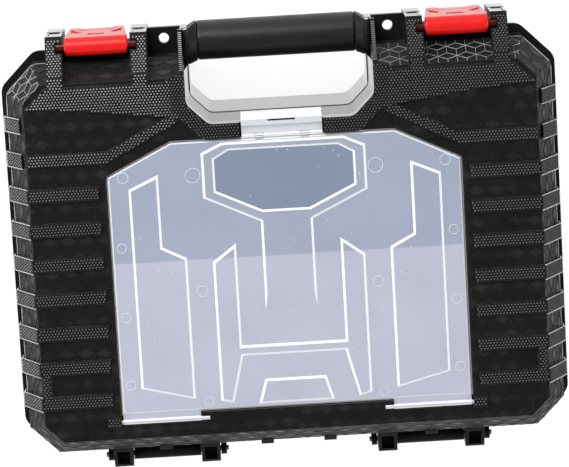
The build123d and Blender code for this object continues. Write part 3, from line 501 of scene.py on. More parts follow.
class Graph:
    """Small helper round a node tree."""

    def __init__(self, tree: bpy.types.NodeTree) -> None:
        """Wrap a tree."""
        self.tree = tree

    def feed(self, target: Socket, value: object) -> None:
        """Set an input to a constant, or join a socket to it.

        Args:
            target: The input.
            value: A constant or an output socket.
        """
        if isinstance(value, Socket):
            self.tree.links.new(value, target)
        else:
            target.default_value = value

    def node(self, kind: str, **values: object) -> bpy.types.Node:
        """Add a node, and set its properties or feed its inputs by name.

        Args:
            kind: The node's type.
            **values: Properties, or inputs with underscores for the spaces in their names.

        Returns:
            The node.
        """
        node = self.tree.nodes.new(kind)
        for name, value in values.items():
            if name in node.bl_rna.properties:
                setattr(node, name, value)
            else:
                self.feed(node.inputs[name.replace("_", " ")], value)
        return node

    def ramp(self, source: Socket, low: float, high: float, to_low: float, to_high: float) -> Socket:
        """Map one range of a value to another, clamped."""
        return self.node("ShaderNodeMapRange", Value=source, From_Min=low, From_Max=high, To_Min=to_low,
                         To_Max=to_high).outputs["Result"]

    def mix(self, share: Socket, first: object, second: object) -> Socket:
        """Mix two colours, each a colour or a socket.

        Args:
            share: Share of the second colour.
            first: Colour where the share is 0.
            second: Colour where the share is 1.

        Returns:
            The mixed colour.
        """
        node = self.node("ShaderNodeMix", data_type="RGBA")
        self.feed(node.inputs[0], share)
        for index, value in ((6, first), (7, second)):
            self.feed(node.inputs[index], value if isinstance(value, Socket) else (*value, 1.0))
        return node.outputs[2]

    def blend(self, share: Socket, first: Socket, second: float) -> Socket:
        """Blend a value towards a constant.

        Args:
            share: Share of the constant.
            first: Value where the share is 0.
            second: The constant.

        Returns:
            The blended value.
        """
        node = self.node("ShaderNodeMix", data_type="FLOAT")
        for index, value in ((0, share), (2, first), (3, second)):
            self.feed(node.inputs[index], value)
        return node.outputs[0]

    def math(self, operation: str, *values: object, kind: str = "ShaderNodeMath") -> Socket:
        """Result of a math node whose inputs are sockets or constants.

        Args:
            operation: Name of the operation.
            *values: Its inputs in order.
            kind: The node's type.

        Returns:
            The result.
        """
        node = self.node(kind, operation=operation)
        for target, value in zip(node.inputs, values):
            self.feed(target, value)
        return node.outputs["Value"]

    def dot(self, first: Socket, second: object) -> Socket:
        """Dot product of two vectors."""
        return self.math("DOT_PRODUCT", first, second, kind="ShaderNodeVectorMath")

    def split(self, vector: Socket) -> bpy.types.NodeOutputs:
        """X, Y and Z of a vector."""
        return self.node("ShaderNodeSeparateXYZ", Vector=vector).outputs

    def seen(self, *kinds: str) -> Socket:
        """Whether a ray is of one of the kinds, as 0 or 1.

        Args:
            *kinds: Names of outputs of the Light Path node.

        Returns:
            1 for a ray of any of the kinds, else 0.
        """
        path = self.node("ShaderNodeLightPath").outputs
        total = path[kinds[0]]
        for kind in kinds[1:]:
            total = self.math("MAXIMUM", total, path[kind])
        return total


class MaterialGraph(Graph):
    """Graph of a new material, with its Principled shader, object coordinates and object normal."""

    def __init__(self, name: str) -> None:
        """Start the material.

        Args:
            name: The material's name.
        """
        self.material = bpy.data.materials.new(name)
        self.material.use_nodes = True
        super().__init__(self.material.node_tree)
        self.shader = self.tree.nodes["Principled BSDF"]
        places = self.node("ShaderNodeTexCoord").outputs
        self.coordinates, self.normal = places["Object"], places["Normal"]

    def set(self, **values: object) -> None:
        """Set the shader's sockets, each to a constant or to another socket."""
        for name, value in values.items():
            self.feed(self.shader.inputs[name.replace("_", " ")], value)

    def noise(self, size_mm: float, detail: float = 2.0) -> Socket:
        """Noise whose features are about `size_mm` across."""
        return self.node("ShaderNodeTexNoise", Vector=self.coordinates, Scale=1.0 / (size_mm * MM),
                         Detail=detail).outputs["Fac"]

    def flank(self) -> Socket:
        """Share of 1 on upright faces round the hand opening and towards the grip, polished in the mould.

        The front shell's lowest few millimetres stay dull beside the seam.

        Returns:
            The share.
        """
        facing = self.split(self.normal)
        place = self.split(self.coordinates)
        upright = self.ramp(self.math("ABSOLUTE", facing["Z"]), 0.2, 0.3, 1.0, 0.0)
        towards_grip = self.ramp(facing["Y"], -0.55, -0.68, 0.0, 1.0)
        half = (SIZES.half_opening + SIZES.polish_reach) * MM
        beside = self.ramp(self.math("ABSOLUTE", place["X"]), half, half + MM, 1.0, 0.0)
        opening_y = VIEW.middle_y * MM - (SIZES.opening_floor - SIZES.polish_reach) * MM
        beyond = self.ramp(place["Y"], opening_y, opening_y + MM, 1.0, 0.0)
        seam, dull, soft = (size * MM for size in (SIZES.seam, SIZES.seam_dull, 0.3))
        below = self.ramp(place["Z"], seam - soft, seam, 1.0, 0.0)
        above = self.ramp(place["Z"], seam + dull, seam + dull + soft, 0.0, 1.0)
        faces = self.math("MAXIMUM", towards_grip, self.math("MULTIPLY", beside, beyond))
        polished = self.math("MULTIPLY", upright, faces)
        return self.math("MULTIPLY", polished, self.math("MAXIMUM", below, above))

    def sloped(self) -> Socket:
        """Share of 1 on the steep slopes towards the grip and the sides of the front face, where a lighter
        tone is painted as light.

        Returns:
            The share.
        """
        facing = self.split(self.normal)
        steep = self.math("MULTIPLY", self.ramp(facing["Z"], 0.3, 0.4, 0.0, 1.0),
                          self.ramp(facing["Z"], 0.6, 0.7, 1.0, 0.0))
        return self.math("MULTIPLY", steep, self.ramp(facing["Y"], 0.2, 0.5, 1.0, 0.0))

    def fade(self, along: Pair, start_mm: float, end_mm: float) -> Socket:
        """Value that climbs from 0 to 1 across the case, along a direction in its plan."""
        return self.ramp(self.dot(self.coordinates, (*along, 0.0)), start_mm * MM, end_mm * MM, 0.0, 1.0)

    def bump(self, height: Socket, depth_mm: float, strength: float,
             normal: Optional[Socket] = None) -> Socket:
        """Bump normal from a height.

        Args:
            height: Height from 0 to 1.
            depth_mm: Depth that a height of 1 stands for.
            strength: Strength of the bump.
            normal: Normal it starts from, if not the surface's own.

        Returns:
            The bumped normal.
        """
        node = self.node("ShaderNodeBump", Strength=strength, Distance=depth_mm * MM, Height=height)
        if normal:
            self.feed(node.inputs["Normal"], normal)
        return node.outputs["Normal"]

    def edges(self, radius_mm: float) -> tuple[Socket, Socket]:
        """Rounded normal at edges, and how far it turns from the flat one.

        Args:
            radius_mm: Radius of the rounding.

        Returns:
            The rounded normal, and a share that is 1 on sharp edges.
        """
        bevel = self.node("ShaderNodeBevel", samples=6, Radius=radius_mm * MM).outputs["Normal"]
        flat = self.node("ShaderNodeNewGeometry").outputs["Normal"]
        return bevel, self.ramp(self.dot(bevel, flat), 1.0, 0.88, 0.0, 1.0)


@dataclass(frozen=True)
class MouldedPlastic:
    """Moulded plastic with a fine spark-eroded grain and rounded edges; its edges turn paler, partly from
    scuffing and partly as a painted highlight, and it may take painted shade in hollows and past a part's
    ends, a lighter painted tone on slopes and a painted ramp to a darker tone across the case.
    """

    name: str
    colour: Colour
    # Paler colour of the edges: scuffing and a painted highlight.
    scuffed_and_glint_colour: Colour
    roughness: float = 0.45
    specular: float = 0.35
    grain_mm: float = 0.6
    grain_depth: float = 0.05
    grain_strength: float = 0.5
    edge_mm: float = 0.6
    scuff_and_glint_amount: float = 0.6
    mottle: float = 0.25
    coat: float = 0.0
    # Reach of the painted shade that darkens hollows and creases.
    painted_shade_hollow_mm: float = 0.0
    polish: float = 0.0
    # Painted light: darker tone that the colour ramps to across the case, with the ramp's direction and span.
    painted_shade_tone: Optional[Colour] = None
    painted_shade_along: Pair = (-0.35, 1.0)
    painted_shade_mm: Pair = (-190.0, -100.0)
    # Middle and half length of a part; past its ends painted shade darkens it, as on the latch stubs in their
    # notches.
    painted_shade_ends_mm: Optional[Pair] = None
    # Painted light: lighter tone for steep slopes.
    slope: Optional[Colour] = None
    smear_mm: float = 12.0
    patch_mm: float = 28.0
    rub_mm: float = 3.5
    polished_roughness: float = 0.16

    def material(self) -> bpy.types.Material:
        """Build the material.

        Returns:
            The material.
        """
        graph = MaterialGraph(self.name)
        graph.set(Specular_IOR_Level=self.specular, Coat_Weight=self.coat, Coat_Roughness=0.15, Coat_IOR=1.6)
        normal, edge = graph.edges(self.edge_mm)
        grain = graph.noise(self.grain_mm)
        roughness = graph.ramp(graph.noise(self.smear_mm, 3.0), 0.3, 0.7, self.roughness - 0.06,
                               self.roughness + 0.08)
        if self.polish:
            flank = graph.flank()
            graph.set(Coat_Weight=graph.ramp(flank, 0.0, 1.0, self.coat, self.polish))
            roughness = graph.blend(flank, roughness, self.polished_roughness)
            grain = graph.blend(flank, grain, 0.5)
        graph.set(Roughness=roughness,
                  Normal=graph.bump(grain, self.grain_depth, self.grain_strength, normal))
        patchy = graph.noise(self.patch_mm, 4.0)
        shaded = tuple(channel * (1.0 - self.mottle) for channel in self.colour)
        base = graph.mix(graph.ramp(patchy, 0.35, 0.65, 0.0, 1.0), shaded, self.colour)
        # Painted light: the colour ramps to a darker tone away from the lit side, as light falls across the
        # case.
        if self.painted_shade_tone:
            base = graph.mix(graph.fade(self.painted_shade_along, *self.painted_shade_mm), base, self.painted_shade_tone)
        # Painted light: steep slopes take a lighter tone, as where light falls on them.
        if self.slope:
            base = graph.mix(graph.sloped(), base, self.slope)
        # Edge share for the paler colour: scuffing mixed with a painted highlight along the rounded edges.
        rubbed = graph.ramp(graph.noise(self.rub_mm, 5.0), 0.3, 0.6, 0.25 * self.scuff_and_glint_amount, self.scuff_and_glint_amount)
        colour = graph.mix(graph.math("MULTIPLY", edge, rubbed), base, self.scuffed_and_glint_colour)
        # Painted shade: near-black taken by hollows and, where set, by the ends past a part.
        painted_shade_dark = tuple(channel * 0.1 for channel in self.colour)
        # Painted shade in hollows and creases, read from ambient occlusion.
        if self.painted_shade_hollow_mm:
            nearby = graph.node("ShaderNodeAmbientOcclusion", samples=8, Distance=self.painted_shade_hollow_mm * MM)
            colour = graph.mix(graph.ramp(nearby.outputs["AO"], 0.25, 0.65, 0.0, 1.0), painted_shade_dark, colour)
        # Painted shade: the latch stubs past the plate's ends darken as if shadowed in their notches.
        if self.painted_shade_ends_mm:
            colour = graph.mix(self.past_ends(graph), colour, painted_shade_dark)
        graph.set(Base_Color=colour)
        return graph.material

    def past_ends(self, graph: MaterialGraph) -> Socket:
        """Share of 1 past the ends of a part whose middle and half length on X are given, where painted shade
        goes.

        Args:
            graph: The material's graph.

        Returns:
            The share.
        """
        middle, half = (size * MM for size in self.painted_shade_ends_mm)
        across = graph.math("ABSOLUTE", graph.split(graph.coordinates)["X"])
        offset = graph.math("ABSOLUTE", graph.math("SUBTRACT", across, middle))
        return graph.ramp(offset, half, half + 0.3 * MM, 0.0, 1.0)


@dataclass(frozen=True)
class FinePlastic(MouldedPlastic):
    """Moulded plastic of features too small for broad edges and a strong grain."""

    roughness: float = 0.4
    grain_strength: float = 0.2
    edge_mm: float = 0.1


@dataclass(frozen=True)
class ClearPlastic:
    """Frosted clear plastic with a painted highlight on its sloped edges, pale dust specks, and perhaps
    painted shade towards the grip.
    """

    name: str
    colour: Colour
    edge_highlight_and_speck_colour: Colour
    # Painted shade: darker colour towards the grip, standing in for the shadowed tray beneath.
    far: Optional[Colour] = None
    far_mm: Pair = (5.2, 4.0)
    specks: bool = False
    clarity: float = 0.5
    roughness: float = 0.28
    edge_low: float = 0.995
    edge_high: float = 0.9
    ripple_mm: float = 40.0
    speck_mm: float = 7.0

    def material(self) -> bpy.types.Material:
        """Build the material.

        Returns:
            The material.
        """
        graph = MaterialGraph(self.name)
        up = graph.math("ABSOLUTE", graph.split(graph.normal)["Z"])
        # Painted highlight: sloped faces turn to the pale edge colour.
        edge = graph.ramp(up, self.edge_low, self.edge_high, 0.0, 1.0)
        cloudy = graph.ramp(graph.noise(self.ripple_mm, 3.0), 0.3, 0.7, 0.0, 1.0)
        base = self.cloud(graph, cloudy, self.colour)
        # Painted shade: towards the grip the colour turns to the darker far colour.
        if self.far:
            far = self.cloud(graph, cloudy, self.far)
            base = graph.mix(graph.fade((0.0, 1.0), *self.far_mm), base, far)
        if self.specks:
            base = graph.mix(self.dust(graph), base, self.edge_highlight_and_speck_colour)
        graph.set(IOR=1.45, Specular_IOR_Level=0.5, Base_Color=graph.mix(edge, base, self.edge_highlight_and_speck_colour),
                  Transmission_Weight=graph.ramp(edge, 0.0, 1.0, self.clarity, 0.05),
                  Roughness=graph.ramp(edge, 0.0, 1.0, self.roughness, 0.5),
                  Normal=graph.bump(graph.noise(1.2), 0.03, 0.25))
        return graph.material

    def cloud(self, graph: MaterialGraph, share: Socket, colour: Colour) -> Socket:
        """A colour with slightly deeper clouds."""
        return graph.mix(share, tuple(channel * 0.93 for channel in colour), colour)

    def dust(self, graph: MaterialGraph) -> Socket:
        """Share of 1 in scattered pale specks inside the plastic.

        Args:
            graph: The material's graph.

        Returns:
            The share.
        """
        cells = graph.node("ShaderNodeTexVoronoi", Vector=graph.coordinates, Scale=1.0 / (self.speck_mm * MM))
        speck = graph.ramp(cells.outputs["Distance"], 0.07, 0.1, 1.0, 0.0)
        return graph.math("MULTIPLY", speck, graph.ramp(graph.noise(30.0, 3.0), 0.45, 0.6, 0.0, 0.8))


@dataclass(frozen=True)
class SoftGrip:
    """Soft-touch rubber with a faint crosswise grain."""

    name: str
    colour: Colour
    roughness: float = 0.36

    def material(self) -> bpy.types.Material:
        """Build the material.

        Returns:
            The material.
        """
        graph = MaterialGraph(self.name)
        paler = tuple(channel * 1.7 for channel in self.colour)
        low, high = self.roughness - 0.08, self.roughness + 0.08
        graph.set(Specular_IOR_Level=0.42, Sheen_Weight=0.08, Sheen_Roughness=0.3,
                  Normal=graph.bump(graph.noise(0.7, 3.0), 0.06, 0.5),
                  Base_Color=graph.mix(graph.noise(9.0, 4.0), self.colour, paler),
                  Roughness=graph.ramp(graph.noise(6.0, 3.0), 0.3, 0.7, low, high))
        return graph.material


@dataclass(frozen=True)
class PlatedSteel:
    """Zinc-plated steel with fine drawn lines along X."""

    name: str
    colour: Colour
    roughness: float = 0.35
    line_mm: float = 0.4
    line_stretch: float = 0.04

    def material(self) -> bpy.types.Material:
        """Build the material.

        Returns:
            The material.
        """
        graph = MaterialGraph(self.name)
        stretched = graph.node("ShaderNodeMapping", Vector=graph.coordinates,
                               Scale=(self.line_stretch, 1.0, 1.0)).outputs["Vector"]
        height = graph.node("ShaderNodeTexNoise", Vector=stretched, Scale=1.0 / (self.line_mm * MM),
                            Detail=3.0).outputs["Fac"]
        darker = tuple(channel * 0.6 for channel in self.colour)
        graph.set(Metallic=1.0, Normal=graph.bump(height, 0.02, 0.3),
                  Base_Color=graph.mix(graph.noise(4.0, 3.0), darker, self.colour),
                  Roughness=graph.ramp(height, 0.3, 0.7, self.roughness - 0.08, self.roughness + 0.1))
        return graph.material


@dataclass(frozen=True)
class Finishes:
    """Every finish of the case."""

    # Black shell: a lighter painted tone on its slopes; edges paler from scuffing and a painted highlight.
    shell: Finish = MouldedPlastic("black_moulding", (0.009, 0.009, 0.0095), (0.13, 0.13, 0.135),
                                   specular=0.12, polish=0.85, slope=(0.016, 0.016, 0.0165))
    # Painted shadow: near-black for the box in the clip's slit.
    shade: Finish = MouldedPlastic("painted_shadow_black", (0.004, 0.004, 0.004), (0.01, 0.01, 0.01), specular=0.1,
                                   roughness=0.8)
    # Pips of black plastic: their pale grey is a painted glint on the domes, ramped to a darker painted shade
    # across the case; the grip ridges' small ribs share it.
    pips: Finish = FinePlastic("black_moulding_pips_painted_glint", (0.46, 0.46, 0.47), (0.5, 0.5, 0.51), specular=0.3,
                               mottle=0.35, painted_shade_tone=(0.115, 0.115, 0.118))
    side_pips: Finish = FinePlastic("black_moulding_side_pips_painted_glint", (0.32, 0.32, 0.33), (0.4, 0.4, 0.41),
                                    painted_shade_tone=(0.1, 0.1, 0.103), painted_shade_along=(-1.0, 0.0), painted_shade_mm=(-180.0, 120.0))
    dim_pips: Finish = FinePlastic("black_moulding_trim_pips_painted_glint", (0.19, 0.19, 0.195), (0.25, 0.25, 0.26),
                                   painted_shade_tone=(0.09, 0.09, 0.092))
    # Cube lines: paler than the shell as a painted highlight on the ridges.
    relief: Finish = FinePlastic("black_moulding_lines", (0.022, 0.022, 0.023), (0.06, 0.06, 0.062),
                                 specular=0.2, mottle=0.6)
    # Painted highlight: near-white cube lines on the grip slope and one corner slope, where light catches
    # them.
    painted_highlight_relief: Finish = FinePlastic("black_moulding_painted_highlight_lines", (0.66, 0.66, 0.67), (0.7, 0.7, 0.71),
                                        roughness=0.35, mottle=0.5)
    # Cube tiles: their paler colour is a painted glint on each cube's upper face; the slope tiles are a
    # lighter painted copy for the slopes.
    tiles: Finish = FinePlastic("black_moulding_tiles_painted_glint", (0.018, 0.018, 0.019), (0.04, 0.04, 0.041),
                                roughness=0.38, specular=0.2, grain_strength=0.5, mottle=0.7)
    painted_light_slope_tiles: Finish = FinePlastic("black_moulding_painted_light_slope_tiles", (0.034, 0.034, 0.035),
                                      (0.07, 0.07, 0.072), roughness=0.38, specular=0.2, grain_strength=0.5,
                                      mottle=0.8)
    # Painted highlight: pale beads along rib and shoulder edges.
    painted_edge_glint: Finish = FinePlastic("black_moulding_painted_edge_glint", (0.6, 0.6, 0.61), (0.7, 0.7, 0.7),
                                      roughness=0.3, mottle=0.5)
    # Red latches: pink-white edges are partly a painted highlight; hollows and the stubs past the ends carry
    # painted shade.
    latch: Finish = MouldedPlastic("red_moulding", (0.84, 0.008, 0.006), (0.95, 0.36, 0.32), roughness=0.3,
                                   specular=0.4, grain_strength=0.15, mottle=0.06, coat=0.03, edge_mm=0.7,
                                   scuff_and_glint_amount=0.85, painted_shade_hollow_mm=6.0, polish=0.15, painted_shade_ends_mm=(134.0, 23.5))
    # Lid and its rings: painted shade towards the grip, painted highlight on sloped edges.
    lid: Finish = ClearPlastic("clear_lid", (0.665, 0.687, 0.815), (0.97, 0.97, 0.98), specks=True,
                               far=(0.48, 0.54, 0.67), clarity=0.3)
    lid_rings: Finish = ClearPlastic("clear_lid_rings", (0.665, 0.687, 0.815), (0.80, 0.82, 0.90),
                                     far=(0.48, 0.54, 0.67), clarity=0.3)
    lid_pocket: Finish = ClearPlastic("clear_lid_pocket", (0.29, 0.35, 0.48), (0.9, 0.9, 0.92), specks=True,
                                      clarity=0.25)
    tray: Finish = ClearPlastic("milky_tray", (0.70, 0.72, 0.76), (0.84, 0.86, 0.88), clarity=0.15,
                                roughness=0.4)
    clip: Finish = ClearPlastic("milky_clip", (0.76, 0.78, 0.84), (0.93, 0.94, 0.97), clarity=0.2,
                                roughness=0.5)
    grip: Finish = SoftGrip("soft_grip", (0.006, 0.006, 0.0065))
    collar: Finish = MouldedPlastic("collar_moulding", (0.009, 0.009, 0.01), (0.2, 0.2, 0.21), specular=0.2)
    steel: Finish = PlatedSteel("plated_steel", (0.32, 0.32, 0.33))


@dataclass
class FaceBands:
    """Knurled bands, ribs and uprights of the front shell."""

    finishes: Finishes
    rib_rows: int = 7
    side_rib_rows: int = 9
    rib_pitch: float = 26.4
    first_rib: float = 68.0
    rib_width: float = 11.0
    rib_start: float = 5.0
    rib_overrun: float = 2.0
    link_width: float = 7.0
    edge_margin: float = 0.6
    side_rib_proud: float = 2.6
    side_rib_foot: float = 69.2
    short_rib_setback: float = 3.7
    band_low: float = 133.0
    band_high: float = 148.5
    band_taper: float = 40.0
    band_fall: float = 3.0
    junction: Pair = (86.0, 122.0)
    branch_corner: float = 131.0
    branch_width: float = 9.5
    trim_width: float = 11.6
    clip_half: float = 31.3
    bay_centre: float = 134.0
    bay_width: float = 50.6
    pillar_width: float = 12.4
    pillar_bend: float = 155.0
    crest_y: float = 183.7
    pillar_setback: float = 18.0
    notch_depth: float = 5.8
    notch_y: float = 176.3
    notch_radius: float = 4.6
    ridge_rib_span: Pair = (70.7, 72.7)
    ridge_rib_pitch: float = 1.6
    peg_block_width: float = 10.0
    peg_block_y: float = -108.0
    peg_block_height: float = 8.0
    margin: float = 1.0
    trim_margin: float = 1.0
    pillar_margin: float = 0.7
    bead_radius: float = 0.45
    corner_radius: float = 9.0
    knurling: Knurling = Knurling()
    trim_knurling: Knurling = Knurling(radius=0.68, height=0.45)

    @property
    def lean(self) -> tuple[Pair, Pair]:
        """Y and Z where the leaning fronts of pillars and grip ridges begin and end."""
        return (self.pillar_bend, SIZES.pad), (self.crest_y, SIZES.pad - self.pillar_setback)

    def rib_y(self, row: int) -> float:
        """Middle of a rib row. Row 0 is the face rib nearest the grip."""
        return self.first_rib - row * self.rib_pitch

    def outlines(self) -> list[Outline]:
        """Tops of the raised bands on the right half of the face.

        Returns:
            Outlines in front-view millimetres, which may overlap.
        """
        edge = SIZES.half_face - self.edge_margin
        trim_x = SIZES.half_opening + self.trim_width
        bend_y = SIZES.opening_floor + SIZES.opening_bevel - self.trim_width
        junction_x, junction_y = self.junction
        corner_x = edge - (self.band_high - self.band_low)
        band = [
            (edge, self.band_low), (corner_x, self.band_high), (junction_x, self.band_high),
            (SIZES.half_opening, self.pillar_bend), (SIZES.half_opening, bend_y), (trim_x, bend_y),
            (junction_x, junction_y), (edge - self.band_taper, self.band_low - self.band_fall),
        ]
        high = self.rib_y(-1) + self.branch_width / 2
        low = high - self.branch_width
        branch = [
            (junction_x, junction_y), (self.branch_corner, high), (edge, high), (edge, low),
            (self.branch_corner, low), (trim_x, SIZES.opening_floor), (SIZES.half_opening, bend_y),
        ]
        inner, outer = SIZES.half_lid + SIZES.recess_gap + self.rib_start, edge + self.rib_overrun
        half = self.rib_width / 2
        tops = [band, branch]
        for row in range(self.rib_rows):
            y = self.rib_y(row)
            tops.append(rectangle(inner, outer, y - half, y + half))
        low, high = self.rib_y(self.rib_rows - 1), self.rib_y(self.rib_rows - 2)
        tops.append(rectangle(edge - self.link_width, edge, low, high))
        block_x, half = SIZES.half_lid + SIZES.recess_gap, self.peg_block_height / 2
        tops.append(rectangle(block_x, block_x + self.peg_block_width, self.peg_block_y - half,
                              self.peg_block_y + half))
        for x_low, x_high in self.pillar_spans():
            tops.append(rectangle(x_low, x_high, self.band_high - 2 * self.margin,
                                  self.pillar_bend + self.margin))
        return tops

    def trim_outline(self) -> Outline:
        """Top of the band along the right half of the hand opening.

        Returns:
            Outline in front-view millimetres.
        """
        trim_x = SIZES.half_opening + self.trim_width
        bevel = SIZES.opening_bevel
        outer_bevel = bevel + self.trim_width * (2 - math.sqrt(2))
        floor = SIZES.opening_floor
        low = floor - self.trim_width
        return [
            (trim_x - outer_bevel, low), (trim_x, low + outer_bevel),
            (trim_x, (self.band_high + self.pillar_bend) / 2),
            (self.junction[0] - self.trim_width, self.pillar_bend), (SIZES.half_opening, self.pillar_bend),
            (SIZES.half_opening, floor + bevel), (SIZES.half_opening - bevel, floor), (self.clip_half, floor),
            (self.clip_half, low),
        ]

    def pillar_spans(self) -> list[Pair]:
        """X spans of the right-hand pillars.

        Returns:
            Lowest and highest X of the inner and of the outer pillar.
        """
        inner = self.bay_centre - self.bay_width / 2
        outer = self.bay_centre + self.bay_width / 2
        return [(inner - self.pillar_width, inner), (outer, outer + self.pillar_width)]

    def side_patches(self) -> list[Patch]:
        """Shoulder and wall stretches of the right-hand side ribs.

        Returns:
            Each rib's shoulder and then its wall.
        """
        top_x = SIZES.half_face + (SIZES.pad - SIZES.face) / 2
        wall_x = SIZES.half_body + self.side_rib_proud
        low_z = SIZES.shoulder + (SIZES.pad - SIZES.face)
        half = self.rib_width / 2
        patches = []
        for row in range(self.rib_rows - self.side_rib_rows, self.rib_rows):
            y = self.rib_y(row)
            x, z = top_x, SIZES.pad
            if row < 0:
                x = SIZES.half_face + self.short_rib_setback
                z = SIZES.pad - (x - top_x) / (wall_x - top_x) * (SIZES.pad - low_z)
            line = ((x, z), (wall_x, low_z), (wall_x, self.side_rib_foot))
            for (ax, az), (bx, bz) in zip(line, line[1:]):
                corners = ((ax, y - half, az), (bx, y - half, bz), (bx, y + half, bz), (ax, y + half, az))
                patches.append(Patch(corners, across=(0.0, 1.0, 0.0)))
        return patches

    def pillar_patches(self) -> list[Patch]:
        """Leaning knurled fronts of the right-hand pillars.

        Returns:
            One patch for each pillar.
        """
        (bend_y, bend_z), (crest_y, crest_z) = self.lean
        return [Patch(((low, bend_y, bend_z), (high, bend_y, bend_z), (high, crest_y, crest_z),
                       (low, crest_y, crest_z))) for low, high in self.pillar_spans()]

    def in_stub_notch(self, point: Vector) -> bool:
        """Whether a point lies in the notch where a latch stub snaps into its pillar."""
        beside = abs(abs(abs(point.x) - self.bay_centre) - self.bay_width / 2) < self.notch_depth
        return beside and abs(point.y - self.notch_y) < self.notch_radius

    def rib_edges(self, bm: BMesh) -> None:
        """Pale beads painted as highlights along the edges of the side ribs, and of the shoulder at the two
        corners towards the grip.

        Args:
            bm: The mesh that takes them.
        """
        for patch in self.side_patches()[::2]:
            top_low, wall_low, wall_high, top_high = (Vector(corner) for corner in patch.corners)
            for side in (-1, 1):
                flip = Matrix.Diagonal((side, 1.0, 1.0))
                bead(bm, [flip @ point for point in (top_low, wall_low, wall_high, top_high)],
                     self.bead_radius)
        for side in (-1, 1):
            bead(bm, [Vector((side * x, y, SIZES.shoulder)) for x, y in self.corner_line()], self.bead_radius)

    def corner_line(self) -> list[Pair]:
        """Shoulder edge from the outer pillar round the right-hand corner and down to the last side rib.

        Returns:
            Points in the plan, in front-view millimetres.
        """
        radius = self.corner_radius
        inset = radius * math.tan(math.radians(22.5))
        first = (SIZES.half_body - SIZES.corner_bevel - inset, SIZES.body_top - radius)
        second = (SIZES.half_body - radius, SIZES.body_top - SIZES.corner_bevel - inset)
        points = [(self.pillar_spans()[1][1], SIZES.body_top)]
        for (x, y), start in ((first, 90), (second, 45)):
            for step in range(4):
                angle = math.radians(start - step * 15)
                points.append((x + radius * math.cos(angle), y + radius * math.sin(angle)))
        points.append((SIZES.half_body, self.rib_y(self.rib_rows - 1)))
        return points

    def ridge_ribs(self, bm: BMesh) -> None:
        """Small crosswise ribs on the leaning fronts of the two grip ridges.

        Args:
            bm: The mesh that takes them.
        """
        start, end = (Vector((0.0, *place)) for place in self.lean)
        count = int((end - start).length / self.ridge_rib_pitch)
        for index in range(1, count):
            middle = start.lerp(end, index / count)
            for side in (-1, 1):
                ends = [Vector((side * x, middle.y, middle.z)) for x in self.ridge_rib_span]
                bead(bm, ends, self.bead_radius)

    def face_pips(self, bm: BMesh) -> None:
        """Pips of the bands on the face, except on the trim.

        Args:
            bm: The mesh that takes them.
        """
        trim = self.trim_outline()
        self.knurling.cover_outlines(bm, self.outlines(), self.margin,
                                     lambda x, y: clear_inside(x, y, trim, self.trim_margin))

    def trim_pips(self, bm: BMesh) -> None:
        """Finer pips of the trim along the hand opening."""
        self.trim_knurling.cover_outlines(bm, [self.trim_outline()], self.trim_margin)

    def side_pips(self, bm: BMesh) -> None:
        """Pips of the side ribs.

        Args:
            bm: The mesh that takes them.
        """
        for patch in self.side_patches():
            for half in (patch, patch.mirror()):
                self.knurling.cover(bm, half, self.margin)

    def pillar_pips(self, bm: BMesh) -> None:
        """Pips of the pillars' leaning fronts, clear of the stub notches.

        Args:
            bm: The mesh that takes them.
        """
        for patch in self.pillar_patches():
            for half in (patch, patch.mirror()):
                self.knurling.cover(bm, half, self.pillar_margin, self.in_stub_notch)

    def build(self) -> None:
        """Model the pips, the painted highlight beads along the edges and the ridges' small ribs."""
        finishes = self.finishes
        pieces = (
            ("front_face_pips", self.face_pips, finishes.pips, True),
            ("grip_opening_pips", self.trim_pips, finishes.dim_pips, True),
            ("side_rib_pips", self.side_pips, finishes.side_pips, True),
            ("pillar_pips", self.pillar_pips, finishes.pips, True),
            ("grip_ridge_ribs", self.ridge_ribs, finishes.pips, False),
            ("painted_edge_glints", self.rib_edges, finishes.painted_edge_glint, False),
        )
        for name, model, finish, smooth in pieces:
            bm = bmesh.new()
            model(bm)
            add_piece(name, bm, Body.FRONT, finish, smooth)


